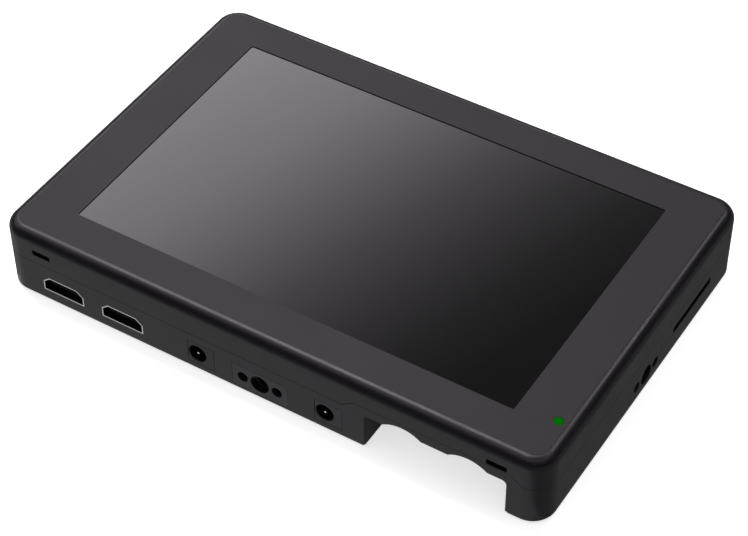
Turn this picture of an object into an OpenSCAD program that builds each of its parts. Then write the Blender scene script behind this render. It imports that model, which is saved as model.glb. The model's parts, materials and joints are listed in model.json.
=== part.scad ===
// Camera field monitor of the 7 inch class, lying on its back.
// X runs along the screen, Y towards its top edge and Z out of the screen.
// The body's size follows from the picture area, the frame round it and what lies behind it.
// The origin is below the middle of the back, and the back lies on Z = 0.
// "Connector side" is the side at -Y, "key side" the one at +Y. Lengths are in millimetres.

/* [Display] */
// Width of the picture area
display_w = 150.8; // [140:0.1:155]
// Height of the picture area
display_h = 94.2; // [84:0.1:97]
// Distance from the picture area to the edge of the panel's window
window_margin = 0.3; // [0.1:0.1:1]
// Thickness of the front panel
bezel_t = 0.3; // [0.2:0.05:0.6]
// Gap round the front panel
bezel_gap = 0.06; // [0.03:0.01:0.2]
// Thickness of the cover glass
glass_t = 1.2; // [0.9:0.1:1.4]
// How far the cover glass reaches past the picture area
glass_margin = 6.6; // [4:0.1:6.8]
// Gap round the cover glass
glass_gap = 0.15; // [0.05:0.05:0.3]
// Thickness of the foam gasket under the glass
gasket_t = 0.6; // [0.3:0.1:0.8]
// Gap between the display module and the corner posts
module_side_gap = 2.7; // [1:0.1:4]
// Gap between the display module and the middle posts
module_end_gap = 0.7; // [0.4:0.1:1.5]
// Thickness of the display module
module_t = 4.2; // [3.6:0.1:4.4]
// Sheet thickness of the module's tray and top frame
module_sheet = 0.5; // [0.3:0.1:0.6]
// Thickness of the liquid crystal cell
cell_t = 1.2; // [0.8:0.1:1.4]
// Thickness of the chassis plate that carries the module
chassis_t = 1.2; // [1:0.1:1.4]
// Gap between the chassis plate and the side walls
chassis_gap = 0.3; // [0.2:0.1:1]
// Gap between the chassis plate and the cap over the battery latch
chassis_clearance = 0.4; // [0.2:0.1:1]

/* [Body] */
// Width of the frame left and right of the picture area
side_margin = 19.15; // [17:0.05:22]
// Width of the frame above and below the picture area
end_margin = 15.55; // [14:0.05:18]
// Radius of the four corners, seen from the front
corner_r = 7.7; // [6.5:0.1:9]
// Round along the front edge
front_round = 3.4; // [2:0.1:4]
// Round along the rear edge
rear_round = 1.5; // [0.6:0.1:1.8]
// Thickness of the side walls
wall_t = 2.2; // [2:0.1:2.8]
// Thickness of the back wall
back_t = 1.8; // [1.6:0.1:2.2]
// Height of the line where front shell and rear cover meet
parting_z = 14.6; // [13.5:0.1:15.5]
// How far that line is raised above the battery bay's roof
raised_parting_h = 3.5; // [3.2:0.1:3.7]
// How far the raised line reaches past the bay on its left
raised_left = 7.2; // [5:0.1:9]
// How far the raised line reaches past the bay on its right
raised_right = 4.9; // [4.2:0.1:5]
// Width of the slopes at the two ends of the raised line
parting_slope = 3.9; // [2:0.1:5]
// Gap between the two shells, which shows as the parting line
seam = 0.12; // [0.05:0.01:0.3]

/* [Battery bay] */
// Distance from the bay to the side wall's outer face
bay_edge = 12.15; // [12:0.05:14]
// Depth of the bay from the back
bay_depth = 13.9; // [13:0.1:14.2]
// Thickness of the bay's side walls
bay_wall = 2; // [1.6:0.1:2.2]
// Thickness of the bay's roof
bay_roof_t = 1.8; // [1.4:0.1:2]
// Radius of the two edges at the bay's roof
bay_corner_r = 1.5; // [0.5:0.1:3]
// Depth of the thick lip at the bay's mouth
lip_l = 5.6; // [4.8:0.1:7]
// Radius of the two finger hollows in the lip
finger_r = 10.6; // [9:0.1:12]
// Distance from the bay's side to a finger hollow's middle
finger_edge = 12.55; // [11.5:0.05:13.5]
// Height of the finger hollows above the bay's roof
finger_rise = 2.1; // [1:0.1:2.4]
// Depth of the finger hollows from the connector side
finger_l = 4; // [2:0.1:4.4]

/* [Battery plate] */
// Thickness of the plate
plate_t = 2.4; // [2:0.1:3]
// Gap round the plate in the bay
plate_gap = 0.5; // [0.3:0.1:0.8]
// Distance from the lip to the plate
plate_lip_gap = 2.9; // [2:0.1:5]
// Width of the battery that the plate's hooks take
battery_w = 38.8; // [38.4:0.1:39.6]
// Height of the hooks below the plate
hook_h = 4.1; // [3.4:0.1:4.6]
// Wall thickness of the hooks
hook_t = 2.1; // [1.6:0.1:2.3]
// Gap between the hooks and the bay's walls
hook_gap = 1.75; // [1:0.05:2.5]
// How far the hooks' lips reach over the battery
hook_lip = 0.9; // [0.5:0.1:1.2]
// Length of one hook
hook_l = 10; // [6:0.5:14]
// Distance between the contact blades
contact_pitch = 7; // [6:0.1:7.6]
// Thickness of a contact blade
contact_t = 0.8; // [0.5:0.1:1]
// Travel of the battery latch
latch_travel = 1.5; // [1:0.1:1.6]

/* [Connectors] */
// Height of the video sockets' middle above the back
port_z = 7.45; // [7.2:0.05:7.8]
// Outer width of a video socket's shell
video_w = 15.2; // [14.8:0.1:15.6]
// Width of its narrow side
video_narrow_w = 10.4; // [9.6:0.1:11]
// Outer height of its shell
video_h = 5.6; // [5.4:0.1:5.8]
// Height of its shell's straight sides
video_side_h = 3.6; // [3:0.1:4]
// Sheet thickness of its shell
video_sheet = 0.4; // [0.3:0.05:0.5]
// Length of its shell
video_l = 11; // [9:0.1:12]
// Distance from the side wall to the first video socket's middle
video_edge = 22.75; // [21:0.05:26]
// Distance between the two video sockets
video_pitch = 22.1; // [18:0.1:23]
// Width of a power socket's face
power_face_w = 9.3; // [8.8:0.1:9.6]
// Height of a power socket's face
power_face_h = 8.4; // [8:0.1:8.8]
// Height of the power sockets' middle above the back
power_z = 7.3; // [7:0.1:7.5]
// Length of a power socket
power_l = 13; // [12:0.1:14]
// Distance from the mount block to the power inlet's face
inlet_gap = 6.45; // [5:0.05:7.5]
// Distance from the battery bay's wall to the power outlet's face
outlet_gap = 5.4; // [4:0.05:9]
// Radius of a power socket's hole
power_hole_r = 3; // [2.7:0.05:3.1]
// How far the hole lies left of its face's middle
power_hole_shift = 1.3; // [0:0.1:1.4]
// Radius of a power socket's centre pin
power_pin_r = 0.85; // [0.6:0.05:1.25]
// How far a power socket's centre pin lies behind the socket's face
power_pin_drop = 0.4; // [0.2:0.1:2]
// Distance from the key side to the card slot's middle
card_edge = 32.5; // [30:0.1:36]
// Distance from the battery bay's wall to the card socket
card_gap = 1.95; // [1:0.05:4]
// Length of the card slot
card_slot_l = 25.3; // [24.6:0.1:25.4]
// Height of the card slot
card_slot_h = 2.4; // [2.2:0.1:2.5]
// Length of the card socket, inwards from the side wall
card_socket_l = 32.5; // [31:0.1:33.5]
// Outer width of the card socket
card_socket_w = 28.5; // [28.2:0.1:28.8]
// Outer height of the card socket
card_socket_h = 2.7; // [2.6:0.1:3]
// Sheet thickness of the card socket
card_sheet = 0.3; // [0.2:0.05:0.35]
// Travel of the card slide
card_travel = 3; // [2:0.1:3.5]

/* [Mounting points] */
// Radius of the threaded holes, 1/4 inch nominal
thread_r = 3.175; // [3:0.005:3.2]
// Depth of the threaded holes
thread_l = 8.5; // [6:0.1:9]
// Height of the holes above the back
mount_z = 6.4; // [6:0.1:6.6]
// Radius of the locating holes beside them
locator_r = 1.8; // [1.5:0.05:2]
// Distance between the two locating holes
locator_pitch = 12; // [11.6:0.1:13]
// Depth of the locating holes
locator_l = 4; // [2:0.1:4.5]
// Width of a mount block
block_w = 19.4; // [18:0.1:20]
// Depth of the block in the connector side
block_l = 12.6; // [11:0.1:14]

/* [Hood slots] */
// Length of a slot for the sun hood's clips
hood_slot_l = 6.7; // [5:0.1:8]
// Height of such a slot
hood_slot_h = 1.95; // [1.2:0.05:2.4]
// Depth of such a slot
hood_slot_depth = 1.6; // [1:0.1:1.7]
// Distance from the slot's middle to the front
hood_slot_drop = 6.8; // [6.5:0.1:6.9]
// Distance from the slot's middle to the side wall's outer face
hood_slot_edge = 15.55; // [12:0.05:20]

/* [Keys] */
// Height of the keys' middle above the back
key_z = 7.4; // [6.8:0.1:8]
// Length of a function key
key_w = 7.6; // [6:0.1:8.4]
// Height of a function key
key_h = 3.2; // [2.6:0.1:3.6]
// Distance between the function keys
key_pitch = 12; // [11:0.1:12.5]
// Radius of the power key
power_key_r = 3.2; // [2.4:0.1:3.4]
// Distance from the side wall to the power key's middle
power_key_edge = 22; // [20:0.1:26]
// Distance from the power key to the first function key
first_key_offset = 14; // [12:0.1:15]
// Gap between a key and its hole
key_gap = 0.15; // [0.05:0.05:0.3]
// Travel of the keys
key_travel = 0.5; // [0.2:0.05:0.6]
// How far a key's flange reaches past the key
key_flange = 1; // [0.6:0.1:1.2]

/* [Status light] */
// Radius of the window
light_r = 1.5; // [1:0.1:1.6]
// Distance from the light to the side wall's outer face
light_edge_x = 6.25; // [6:0.05:7]
// Distance from the light to the connector side
light_edge_y = 17.95; // [16:0.05:24]

/* [Circuit board] */
// Thickness of the main board
board_t = 1.6; // [1.2:0.1:1.8]
// Gap between the video sockets' shells and the board, bridged by their feet
foot_h = 0.45; // [0.3:0.05:0.6]
// Width of the processor
processor_w = 20; // [16:0.5:24]
// Height of the processor
processor_h = 1.6; // [1.2:0.1:2]
// Side of the heat sink
sink_w = 36; // [30:0.5:37]
// Number of fins on the heat sink
sink_fins = 9; // [6:1:11]
// Distance from the blower to the heat sink
sink_gap = 7; // [3:0.5:9]

/* [Blower] */
// Side of the blower's housing
blower_w = 38; // [36:0.5:39]
// Height of the blower with its lid
blower_h = 7.4; // [7:0.1:7.5]
// Distance from the side wall's outer face to the blower's middle
blower_edge = 42.55; // [36:0.05:44]
// Radius of the rotor over its blades
rotor_r = 14.5; // [12:0.1:15]
// Number of blades
rotor_blades = 11; // [7:1:15]
// Radius of the spindle
spindle_r = 1; // [0.8:0.05:1.2]
// Running gap between spindle and rotor
spindle_gap = 0.05; // [0.02:0.01:0.08]
// Place of blower and processor up the screen
cooling_y = 2; // [0:0.5:4]

/* [Fasteners] */
// Radius of the cover screws
cover_screw_r = 1.25; // [1:0.05:1.4]
// Radius of the posts that they go through
post_r = 3.4; // [3.2:0.1:3.5]
// Distance from the corner posts to the outer faces
post_edge = 7.65; // [7.2:0.05:7.8]
// Radius of the small screws
small_screw_r = 1; // [0.8:0.05:1.1]
// Radius of the standoffs under the board
standoff_r = 2.5; // [2.2:0.1:2.8]

/* [Hidden] */
$fn = 64;

// Gaps between pieces that are laid into each other, and round screws in their holes
fit_gap = 0.1;
screw_gap = 0.05;
// Extra length of a cut past the face that it leaves
past = 1;
tab_past = 0.3;

// Outlines
body_w = display_w + 2 * side_margin;
body_h = display_h + 2 * end_margin;
side_x = body_w / 2;
key_side_y = body_h / 2;
connector_y = -key_side_y;
inside_w = body_w - 2 * wall_t;
inside_h = body_h - 2 * wall_t;
inside_r = corner_r - wall_t;
panel_w = body_w - 2 * front_round;
panel_h = body_h - 2 * front_round;
panel_r = corner_r - front_round;
window_w = display_w + 2 * window_margin;
window_h = display_h + 2 * window_margin;
glass_w = display_w + 2 * glass_margin;
glass_h = display_h + 2 * glass_margin;
glass_r = 3;

// Card socket along the right side, and the battery bay below it
card_socket_y = key_side_y - card_edge;
bay_end_y = card_socket_y - card_socket_w / 2 - card_gap - bay_wall;
bay_l = bay_end_y - connector_y;
bay_w = battery_w + 2 * (hook_t + hook_gap);
bay_right = side_x - bay_edge;
bay_left = bay_right - bay_w;
bay_x = (bay_left + bay_right) / 2;
bay_roof_z = bay_depth + bay_roof_t;
raised_parting_z = bay_depth + raised_parting_h;
front_low_z = parting_z + seam / 2;
rear_top_z = parting_z - seam / 2;

// Battery plate, hanging from the bay's roof
plate_z = bay_depth - plate_t;
plate_end_y = bay_end_y - plate_gap;
plate_mouth_y = connector_y + lip_l + plate_lip_gap;
plate_l = plate_end_y - plate_mouth_y;
plate_w = bay_w - 2 * plate_gap;
hook_z = plate_z - hook_h;
hook_lip_t = 1;
hook_spots = [plate_mouth_y + 9, plate_end_y - 11 - hook_l];
plate_screw_x = battery_w / 2 - 6.4;
plate_screw_spots = [
    for (x = [-1, 1], y = [plate_mouth_y + 16, plate_end_y - 14]) [bay_x + x * plate_screw_x, y]
];
contact_block_w = 2 * contact_pitch + 8;
contact_block_l = 6.5;
contact_top_z = bay_roof_z + 0.7;
blade_l = 4;
tail_l = 1.5;
tail_y = plate_end_y - 2 - tail_l;
latch_w = 8;
latch_l = 5;
latch_y = plate_mouth_y + 6.5;
latch_flange = 1.6;
latch_flange_t = 0.8;
latch_reach = 2.2;
latch_room = latch_travel + 0.7;
latch_cap_t = 0.7;
latch_cap_wall = 1;
latch_flange_gap = 0.4;
latch_cap_z = bay_depth + latch_flange_t + latch_room + latch_cap_t;
plate_boss_z = bay_roof_z + 1.8;
plate_boss_cap_t = 0.3;
leaf_t = 0.25;

// Heights of the display stack, from the latch's cap up
chassis_z = latch_cap_z + chassis_clearance;
module_z = chassis_z + chassis_t;
gasket_z = module_z + module_t;
post_cap_t = 0.4;
glass_z = gasket_z + gasket_t;
bezel_z = glass_z + glass_t;
body_t = bezel_z + bezel_t;
shoulder_z = body_t - front_round;
chassis_window_w = 30;
chassis_window_h = 24;
chassis_window_pitch = 45;
chassis_window_y = 20;

// Ports
video_in_x = -side_x + video_edge;
video_out_x = video_in_x + video_pitch;
inlet_x = -block_w / 2 - inlet_gap - power_face_w / 2;
outlet_x = bay_left - bay_wall - outlet_gap - power_face_w / 2;
power_hole_l = power_l - 3;

// Posts of the cover screws. One middle post stands between the video output and the power inlet.
post_x = side_x - post_edge;
post_y = key_side_y - post_edge;
middle_post_x = (video_out_x + video_w / 2 + inlet_x - power_face_w / 2) / 2;
middle_post_y = key_side_y - wall_t - post_r - 0.45;
post_spots = [
    [-post_x, -post_y], [post_x, -post_y], [-post_x, post_y], [post_x, post_y],
    [middle_post_x, -middle_post_y], [-middle_post_x, middle_post_y]
];
screw_head_r = cover_screw_r + 1;
screw_head_t = 1.5;
screw_sink = 0.4;
small_head_r = small_screw_r + 0.9;
small_head_t = 1.2;

// Display module between the posts
module_w = 2 * (post_x - post_r - module_side_gap);
module_h = 2 * (middle_post_y - post_r - module_end_gap);
module_r = 1;

// Keys, switches and their board, from the key side inwards
key_flange_y = key_side_y - wall_t - fit_gap;
key_flange_t = 1;
key_boss_r = 1.4;
key_boss_l = 0.4;
plunger_r = 1;
plunger_l = 1.75;
plunger_out = key_travel + 0.05;
plunger_room = 0.3;
plunger_bore_l = plunger_l + key_travel - plunger_out + plunger_room;
switch_l = 3;
switch_w = 5;
key_board_t = 1.2;
key_boss_y = key_flange_y - key_flange_t - key_boss_l;
switch_face_y = key_boss_y - plunger_out;
key_board_face_y = switch_face_y - switch_l;
key_board_h = key_z + 3.6;
key_board_end = 5.5;
power_key_x = -side_x + power_key_edge;
key_spots = [for (k = [0:3]) power_key_x + first_key_offset + k * key_pitch];
switch_spots = concat([power_key_x], key_spots);
key_rib_w = 4;
key_rib_t = 0.9;
key_rib_y = key_board_face_y - key_board_t - screw_gap;

// Blower and heat sink
lid_t = 0.8;
blower_top_t = 1.4;
blower_x = -side_x + blower_edge;
blower_z = back_t + lid_t;
blower_top_z = back_t + blower_h;
cavity_r = rotor_r + 2;
intake_r = 11;
rotor_z = blower_z + 0.5;
spindle_end_gap = 0.3;
spindle_rim_gap = 0.2;
spindle_foot_r = 3;
rotor_top_z = blower_top_z - blower_top_t - 0.8;
rotor_disc_t = 0.8;
hub_r = 7;
blower_screw_in = 3.1;
blower_screw_r = blower_w / 2 - blower_screw_in;
blower_screw_spots = [for (s = [-1, 1]) [blower_x - blower_screw_r, cooling_y + s * blower_screw_r]];
processor_x = blower_x + blower_w / 2 + sink_gap + sink_w / 2;
sink_base_t = 2;
sink_z = back_t + 0.7;
fin_t = 1.2;
vent_slot_w = 1.8;
vent_edge = 1.5;
vent_low_x = processor_x + sink_w / 2 + vent_edge;
vent_high_x = bay_left - bay_wall - vent_edge;

// Main board and what hangs from it
board_z = port_z + video_h / 2 + foot_h;
board_top_z = board_z + board_t;
board_gap = 0.35;
board_left = -post_x + post_r + 0.5;
board_right = side_x - wall_t - board_gap - 0.1;
board_low_y = connector_y + wall_t + board_gap;
board_high_y = key_rib_y - key_rib_t - 0.8;
main_right = bay_left - bay_wall - 1.4;
arm_low_y = bay_end_y + bay_wall + 1.6;
arm_high_y = card_socket_y + card_socket_w / 2 + 2.65;
card_x = inside_w / 2 - 0.05;
card_z = board_z - card_socket_h / 2;
card_low_x = card_x - card_socket_l;
card_room_x = card_low_x + card_sheet;
card_hook_x = card_room_x + card_travel + 1.6;
card_hook_w = 6;
card_hook_t = 1.8;
card_arm_l = 16;
card_arm_t = 1;
card_slide_y = card_socket_y + card_socket_w / 2 - card_sheet - fit_gap;
card_slide_low_z = board_z - card_socket_h + card_sheet + fit_gap;
card_slide_h = card_socket_h - 2 * card_sheet - 2 * fit_gap;
standoff_in = 5;
board_screw_l = 4.5;
front_row_y = connector_y + 20.65;
standoff_spots = [
    [board_left + standoff_in, board_high_y - 6.5], [board_left + standoff_in, front_row_y],
    [middle_post_x + 3.8, front_row_y + 4], [main_right - 4.5, front_row_y],
    [main_right - 4.5, board_high_y - 6.5], [card_low_x - 3.8, arm_high_y - 3]
];

// Status light
light_x = side_x - light_edge_x;
light_y = connector_y + light_edge_y;
led_board_w = 6;
led_board_l = 12;
led_board_t = 0.8;
led_w = 1.6;
led_l = 1.2;
led_h = 0.7;
pipe_flange = 0.7;
pipe_flange_t = 1;

// Mount blocks
block_h = board_z - back_t - fit_gap;
side_block_l = bay_edge - bay_wall - 0.2;
side_thread_l = side_block_l - 1.45;
block_screw_x = 6.4;
block_screw_in = 8.4;
side_screw_in = 7;
block_screw_l = 5.5;
block_head_r = small_screw_r + 1.1;
block_head_t = 1.2;
block_screw_spots = [
    for (s = [-1, 1]) [s * block_screw_x, connector_y + block_screw_in],
    for (s = [-1, 1]) [side_x - side_screw_in, s * block_screw_x]
];

// Flexible leads
flex_t = 0.2;
flex_w = 28;
flex_x = -side_x + 34.55;
flex_socket_l = 4;
flex_socket_y = front_row_y + 6;
flex_slot_y = flex_socket_y - 8;
socket_h = 2;
lead_t = 0.6;
lead_socket_y = arm_low_y + 4;
lead_socket_h = 2.3;

// Larger parts on the board
memory_w = 8;
memory_l = 13;
memory_t = 1;
coil_w = 7;
coil_t = 3;
coil_pitch = 11;
can_r = 3;
tall_part_h = chassis_z - board_top_z - 1.3;

// ---- Shared shapes ----

// A rectangle with round corners
module rounded_rect(w, h, r) {
    square([w - 2 * r, h], center = true);
    square([w, h - 2 * r], center = true);
    for (x = [-1, 1], y = [-1, 1])
        translate([x * (w / 2 - r), y * (h / 2 - r)]) circle(r);
}

// A bar with two round ends
module pill(l, h) {
    square([l - h, h], center = true);
    for (s = [-1, 1])
        translate([s * (l - h) / 2, 0]) circle(h / 2);
}

// A box from its lowest to its highest corner
module block(low, high) {
    translate(low) cube(high - low);
}

// Sweeps a wall's section round the body. In the section, X counts from a corner's centre outwards.
module swept_wall() {
    for (quarter = [0:3]) {
        reach = quarter % 2 == 0 ? body_w : body_h;
        span = quarter % 2 == 0 ? body_h : body_w;
        rotate([0, 0, 90 * quarter])
            translate([reach / 2 - corner_r, span / 2 - corner_r, 0]) {
                rotate([90, 0, 0]) linear_extrude(span - 2 * corner_r) children();
                rotate_extrude(angle = 90) children();
            }
    }
}

// Turns a flat shape drawn as X and Z so that it starts at y and runs inwards from the connector side
module from_connector_side(y, l) {
    translate([0, y + l, 0]) rotate([90, 0, 0]) linear_extrude(l) children();
}

// The bay's section as X and Z from low_z up to the roof, with its two round edges
module bay_section(w, low_z) {
    r = bay_corner_r;
    translate([bay_x, 0])
        intersection() {
            union() {
                translate([-w / 2, low_z - r]) square([w, bay_depth - low_z]);
                translate([r - w / 2, low_z - r]) square([w - 2 * r, bay_depth - low_z + r]);
                for (s = [-1, 1])
                    translate([s * (w / 2 - r), bay_depth - r]) circle(r);
            }
            translate([-w / 2, low_z]) square([w, bay_depth - low_z]);
        }
}

// A leaf spring, bent like a roof: its feet stand on Y = 0 and its crest lies on Y = rise
module bent_leaf(span, rise, t) {
    polygon([
        [-span / 2, 0], [1 - span / 2, 0], [0, rise - 1.3 * t], [span / 2 - 1, 0],
        [span / 2, 0], [1, rise], [-1, rise]
    ]);
}

// A pan head screw, its head's underside at Z = 0 and its shaft pointing up
module screw(shaft_r, shaft_l, head_r, head_t) {
    translate([0, 0, -head_t])
        difference() {
            cylinder(r = head_r, h = head_t);
            translate([0, 0, -past]) cylinder(r = head_r * 0.5, h = past + head_t * 0.55, $fn = 6);
        }
    cylinder(r = shaft_r, h = shaft_l);
}

// A countersunk screw, its head's face at Z = 0 and its shaft pointing up
module flat_screw(shaft_r, length, head_r, head_t) {
    difference() {
        union() {
            cylinder(r1 = head_r, r2 = shaft_r, h = head_t);
            translate([0, 0, head_t]) cylinder(r = shaft_r, h = length - head_t);
        }
        translate([0, 0, -past]) cylinder(r = head_r * 0.42, h = past + head_t * 0.7, $fn = 6);
    }
}

// ---- Front ----

// Section of the front shell's wall, with the round front edge
module front_wall_section() {
    difference() {
        union() {
            translate([0, front_low_z]) square([corner_r, shoulder_z - front_low_z]);
            translate([0, front_low_z]) square([panel_r, body_t - front_low_z]);
            translate([panel_r, shoulder_z]) circle(front_round);
        }
        translate([-past, front_low_z - past]) square([past + inside_r, gasket_z - front_low_z + past]);
        translate([-past, gasket_z]) square([past + panel_r, body_t - gasket_z + past]);
    }
}

// The raised part of the parting line over the bay, as X and Z. A positive gap makes it smaller.
module raised_tab_outline(gap) {
    left = bay_left - raised_left + gap;
    right = bay_right + raised_right - gap;
    polygon([
        [left, rear_top_z - past], [left, parting_z - gap],
        [left + parting_slope, raised_parting_z - gap],
        [right - parting_slope, raised_parting_z - gap],
        [right, parting_z - gap], [right, rear_top_z - past]
    ]);
}

module hood_slots() {
    for (x = [-1, 1], side = [-1, 1])
        translate([x * (side_x - hood_slot_edge), side * key_side_y, body_t - hood_slot_drop])
            rotate([-90 * side, 0, 0])
                translate([0, 0, -hood_slot_depth])
                    linear_extrude(hood_slot_depth + past) rounded_rect(hood_slot_l, hood_slot_h, 0.6);
}

module front_shell() {
    color([0.21, 0.21, 0.21])
    difference() {
        union() {
            swept_wall() front_wall_section();
            translate([0, 0, gasket_z])
                linear_extrude(bezel_z - gasket_z) rounded_rect(panel_w, panel_h, panel_r);
            for (p = post_spots)
                translate([p.x, p.y, module_z]) cylinder(r = post_r, h = gasket_z - module_z);
        }
        translate([0, 0, gasket_z - past])
            linear_extrude(bezel_z - gasket_z + 2 * past)
                rounded_rect(glass_w + 2 * glass_gap, glass_h + 2 * glass_gap, glass_r + glass_gap);
        for (p = post_spots)
            translate([p.x, p.y, module_z - past])
                cylinder(r = cover_screw_r + screw_gap, h = past + gasket_z - module_z - post_cap_t);
        from_connector_side(connector_y - past, past + wall_t + tab_past) raised_tab_outline(-seam / 2);
        hood_slots();
        translate([light_x, light_y, gasket_z - past])
            cylinder(r = light_r + fit_gap, h = bezel_z - gasket_z + 2 * past);
    }
}

module front_bezel() {
    color([0.27, 0.26, 0.27])
    translate([0, 0, bezel_z])
        linear_extrude(bezel_t)
            difference() {
                rounded_rect(panel_w - 2 * bezel_gap, panel_h - 2 * bezel_gap, panel_r - bezel_gap);
                square([window_w, window_h], center = true);
                translate([light_x, light_y]) circle(light_r + screw_gap);
            }
}

module cover_glass() {
    color([0.12, 0.12, 0.13])
    translate([0, 0, glass_z]) linear_extrude(glass_t) rounded_rect(glass_w, glass_h, glass_r);
}

module glass_gasket() {
    color([0.1, 0.1, 0.1])
    translate([0, 0, gasket_z])
        linear_extrude(gasket_t)
            difference() {
                rounded_rect(glass_w, glass_h, glass_r);
                square([window_w + 1, window_h + 1], center = true);
            }
}

module light_pipe() {
    low = module_z + led_board_t + led_h + fit_gap;
    color([0.2, 0.75, 0.25])
    translate([light_x, light_y, 0]) {
        translate([0, 0, low]) cylinder(r = light_r, h = body_t - low);
        translate([0, 0, gasket_z - pipe_flange_t]) cylinder(r = light_r + pipe_flange, h = pipe_flange_t);
    }
}

module led_board() {
    color([0.1, 0.35, 0.2])
    translate([light_x - led_board_w / 2, light_y - led_board_l / 2, module_z])
        cube([led_board_w, led_board_l, led_board_t]);
}

module status_led() {
    color([0.9, 0.9, 0.85])
    translate([light_x - led_w / 2, light_y - led_l / 2, module_z + led_board_t]) cube([led_w, led_l, led_h]);
}

// ---- Display module ----

module lcd_top_frame() {
    color([0.7, 0.7, 0.72])
    translate([0, 0, gasket_z - module_sheet])
        linear_extrude(module_sheet)
            difference() {
                rounded_rect(module_w, module_h, module_r);
                square([window_w + 1.4, window_h + 1.4], center = true);
            }
}

module lcd_tray() {
    tray_h = module_t - module_sheet;
    color([0.65, 0.65, 0.67])
    difference() {
        translate([0, 0, module_z]) linear_extrude(tray_h) rounded_rect(module_w, module_h, module_r);
        translate([0, 0, module_z + module_sheet])
            linear_extrude(tray_h)
                rounded_rect(module_w - 2 * module_sheet, module_h - 2 * module_sheet, module_r / 2);
    }
}

// A sheet that lies in the tray
module tray_layer(z, t) {
    inset = 2 * (module_sheet + 3 * fit_gap);
    translate([0, 0, z]) linear_extrude(t) square([module_w - inset, module_h - inset], center = true);
}

module backlight_unit() {
    color([0.95, 0.95, 0.92])
    tray_layer(module_z + module_sheet, module_t - 2 * module_sheet - cell_t);
}

module lcd_cell() {
    color([0.05, 0.05, 0.06])
    tray_layer(gasket_z - module_sheet - cell_t, cell_t);
}

module chassis_plate() {
    color([0.75, 0.76, 0.78])
    translate([0, 0, chassis_z])
        linear_extrude(chassis_t)
            difference() {
                rounded_rect(inside_w - 2 * chassis_gap, inside_h - 2 * chassis_gap, inside_r - chassis_gap);
                for (p = post_spots)
                    translate(p) circle(cover_screw_r + 0.2);
                translate([flex_x, flex_slot_y]) square([flex_w + 2, 1.6], center = true);
                for (x = [-1:1])
                    translate([x * chassis_window_pitch, chassis_window_y])
                        rounded_rect(chassis_window_w, chassis_window_h, 4);
            }
}

module lcd_flex() {
    run_z = board_top_z + 1;
    socket_edge_y = flex_socket_y - flex_socket_l / 2;
    color([0.75, 0.5, 0.2])
    translate([flex_x - flex_w / 2, 0, 0])
        rotate([90, 0, 90])
            linear_extrude(flex_w)
                polygon([
                    [socket_edge_y, run_z], [socket_edge_y, run_z + flex_t],
                    [flex_slot_y + flex_t, run_z + flex_t], [flex_slot_y + flex_t, module_z],
                    [flex_slot_y, module_z], [flex_slot_y, run_z]
                ]);
}

// ---- Main board ----

module power_socket_cut(x) {
    translate([x - power_face_w / 2 - 0.15, board_low_y - past])
        square([power_face_w + 0.3, connector_y + power_l + 0.15 - board_low_y + past]);
}

module main_board() {
    color([0.05, 0.3, 0.18])
    translate([0, 0, board_z])
        linear_extrude(board_t)
            difference() {
                union() {
                    translate([board_left, board_low_y])
                        square([main_right - board_left, board_high_y - board_low_y]);
                    translate([main_right, arm_low_y])
                        square([board_right - main_right, arm_high_y - arm_low_y]);
                }
                for (p = standoff_spots)
                    translate(p) circle(small_screw_r + 0.15);
                translate(post_spots[4]) circle(post_r + 0.4);
                power_socket_cut(inlet_x);
                power_socket_cut(outlet_x);
            }
}

// A row of boxes on the board's front face: [x, y, width, depth, height]
module board_row(parts) {
    for (p = parts)
        translate([p[0] - p[2] / 2, p[1] - p[3] / 2, board_top_z]) cube([p[2], p[3], p[4]]);
}

module board_chips() {
    color([0.08, 0.08, 0.09])
    board_row(concat(
        [for (x = [video_in_x, video_out_x]) [x, front_row_y - 2, 7, 7, 0.9]],
        [for (k = [-1, 1]) [processor_x + k * memory_w, cooling_y + 22, memory_w, memory_l, memory_t]],
        [[processor_x, cooling_y, 17, 17, 1.5]],
        [for (k = [0:1]) [blower_x - 6, cooling_y - 8 + k * 26, 10, 10, 1.1]],
        [[card_low_x + 3, card_socket_y, 10, 7, 1]]
    ));
}

module board_power_parts() {
    first_y = front_row_y + 13;
    color([0.3, 0.3, 0.32]) {
        board_row([
            for (k = [0:2]) [main_right - coil_w, first_y + k * coil_pitch, coil_w, coil_w, coil_t]
        ]);
        for (k = [0:3])
            translate([main_right - 18, first_y - 2 + k * 3 * can_r, board_top_z])
                cylinder(r = can_r, h = tall_part_h);
    }
}

// Sockets for the display's flex, the battery's lead, the blower and the keys
module board_sockets() {
    color([0.9, 0.88, 0.8])
    board_row([
        [flex_x, flex_socket_y, flex_w + 2, flex_socket_l, socket_h],
        [bay_x, lead_socket_y, 12, 4, lead_socket_h],
        [board_left + 7, cooling_y + 18, 5, 6, 2.2],
        [power_key_x + 27, board_high_y - 4, 14, 4, socket_h]
    ]);
}

module processor() {
    color([0.1, 0.1, 0.11])
    translate([processor_x - processor_w / 2, cooling_y - processor_w / 2, board_z - processor_h])
        cube([processor_w, processor_w, processor_h]);
}

module heat_sink() {
    top = board_z - processor_h;
    pitch = (sink_w - fin_t) / (sink_fins - 1);
    color([0.25, 0.25, 0.27])
    translate([processor_x - sink_w / 2, cooling_y - sink_w / 2, 0]) {
        translate([0, 0, top - sink_base_t]) cube([sink_w, sink_w, sink_base_t]);
        for (k = [0:sink_fins - 1])
            translate([0, k * pitch, sink_z]) cube([sink_w, fin_t, top - sink_base_t - sink_z]);
    }
}

// ---- Connectors ----

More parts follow.
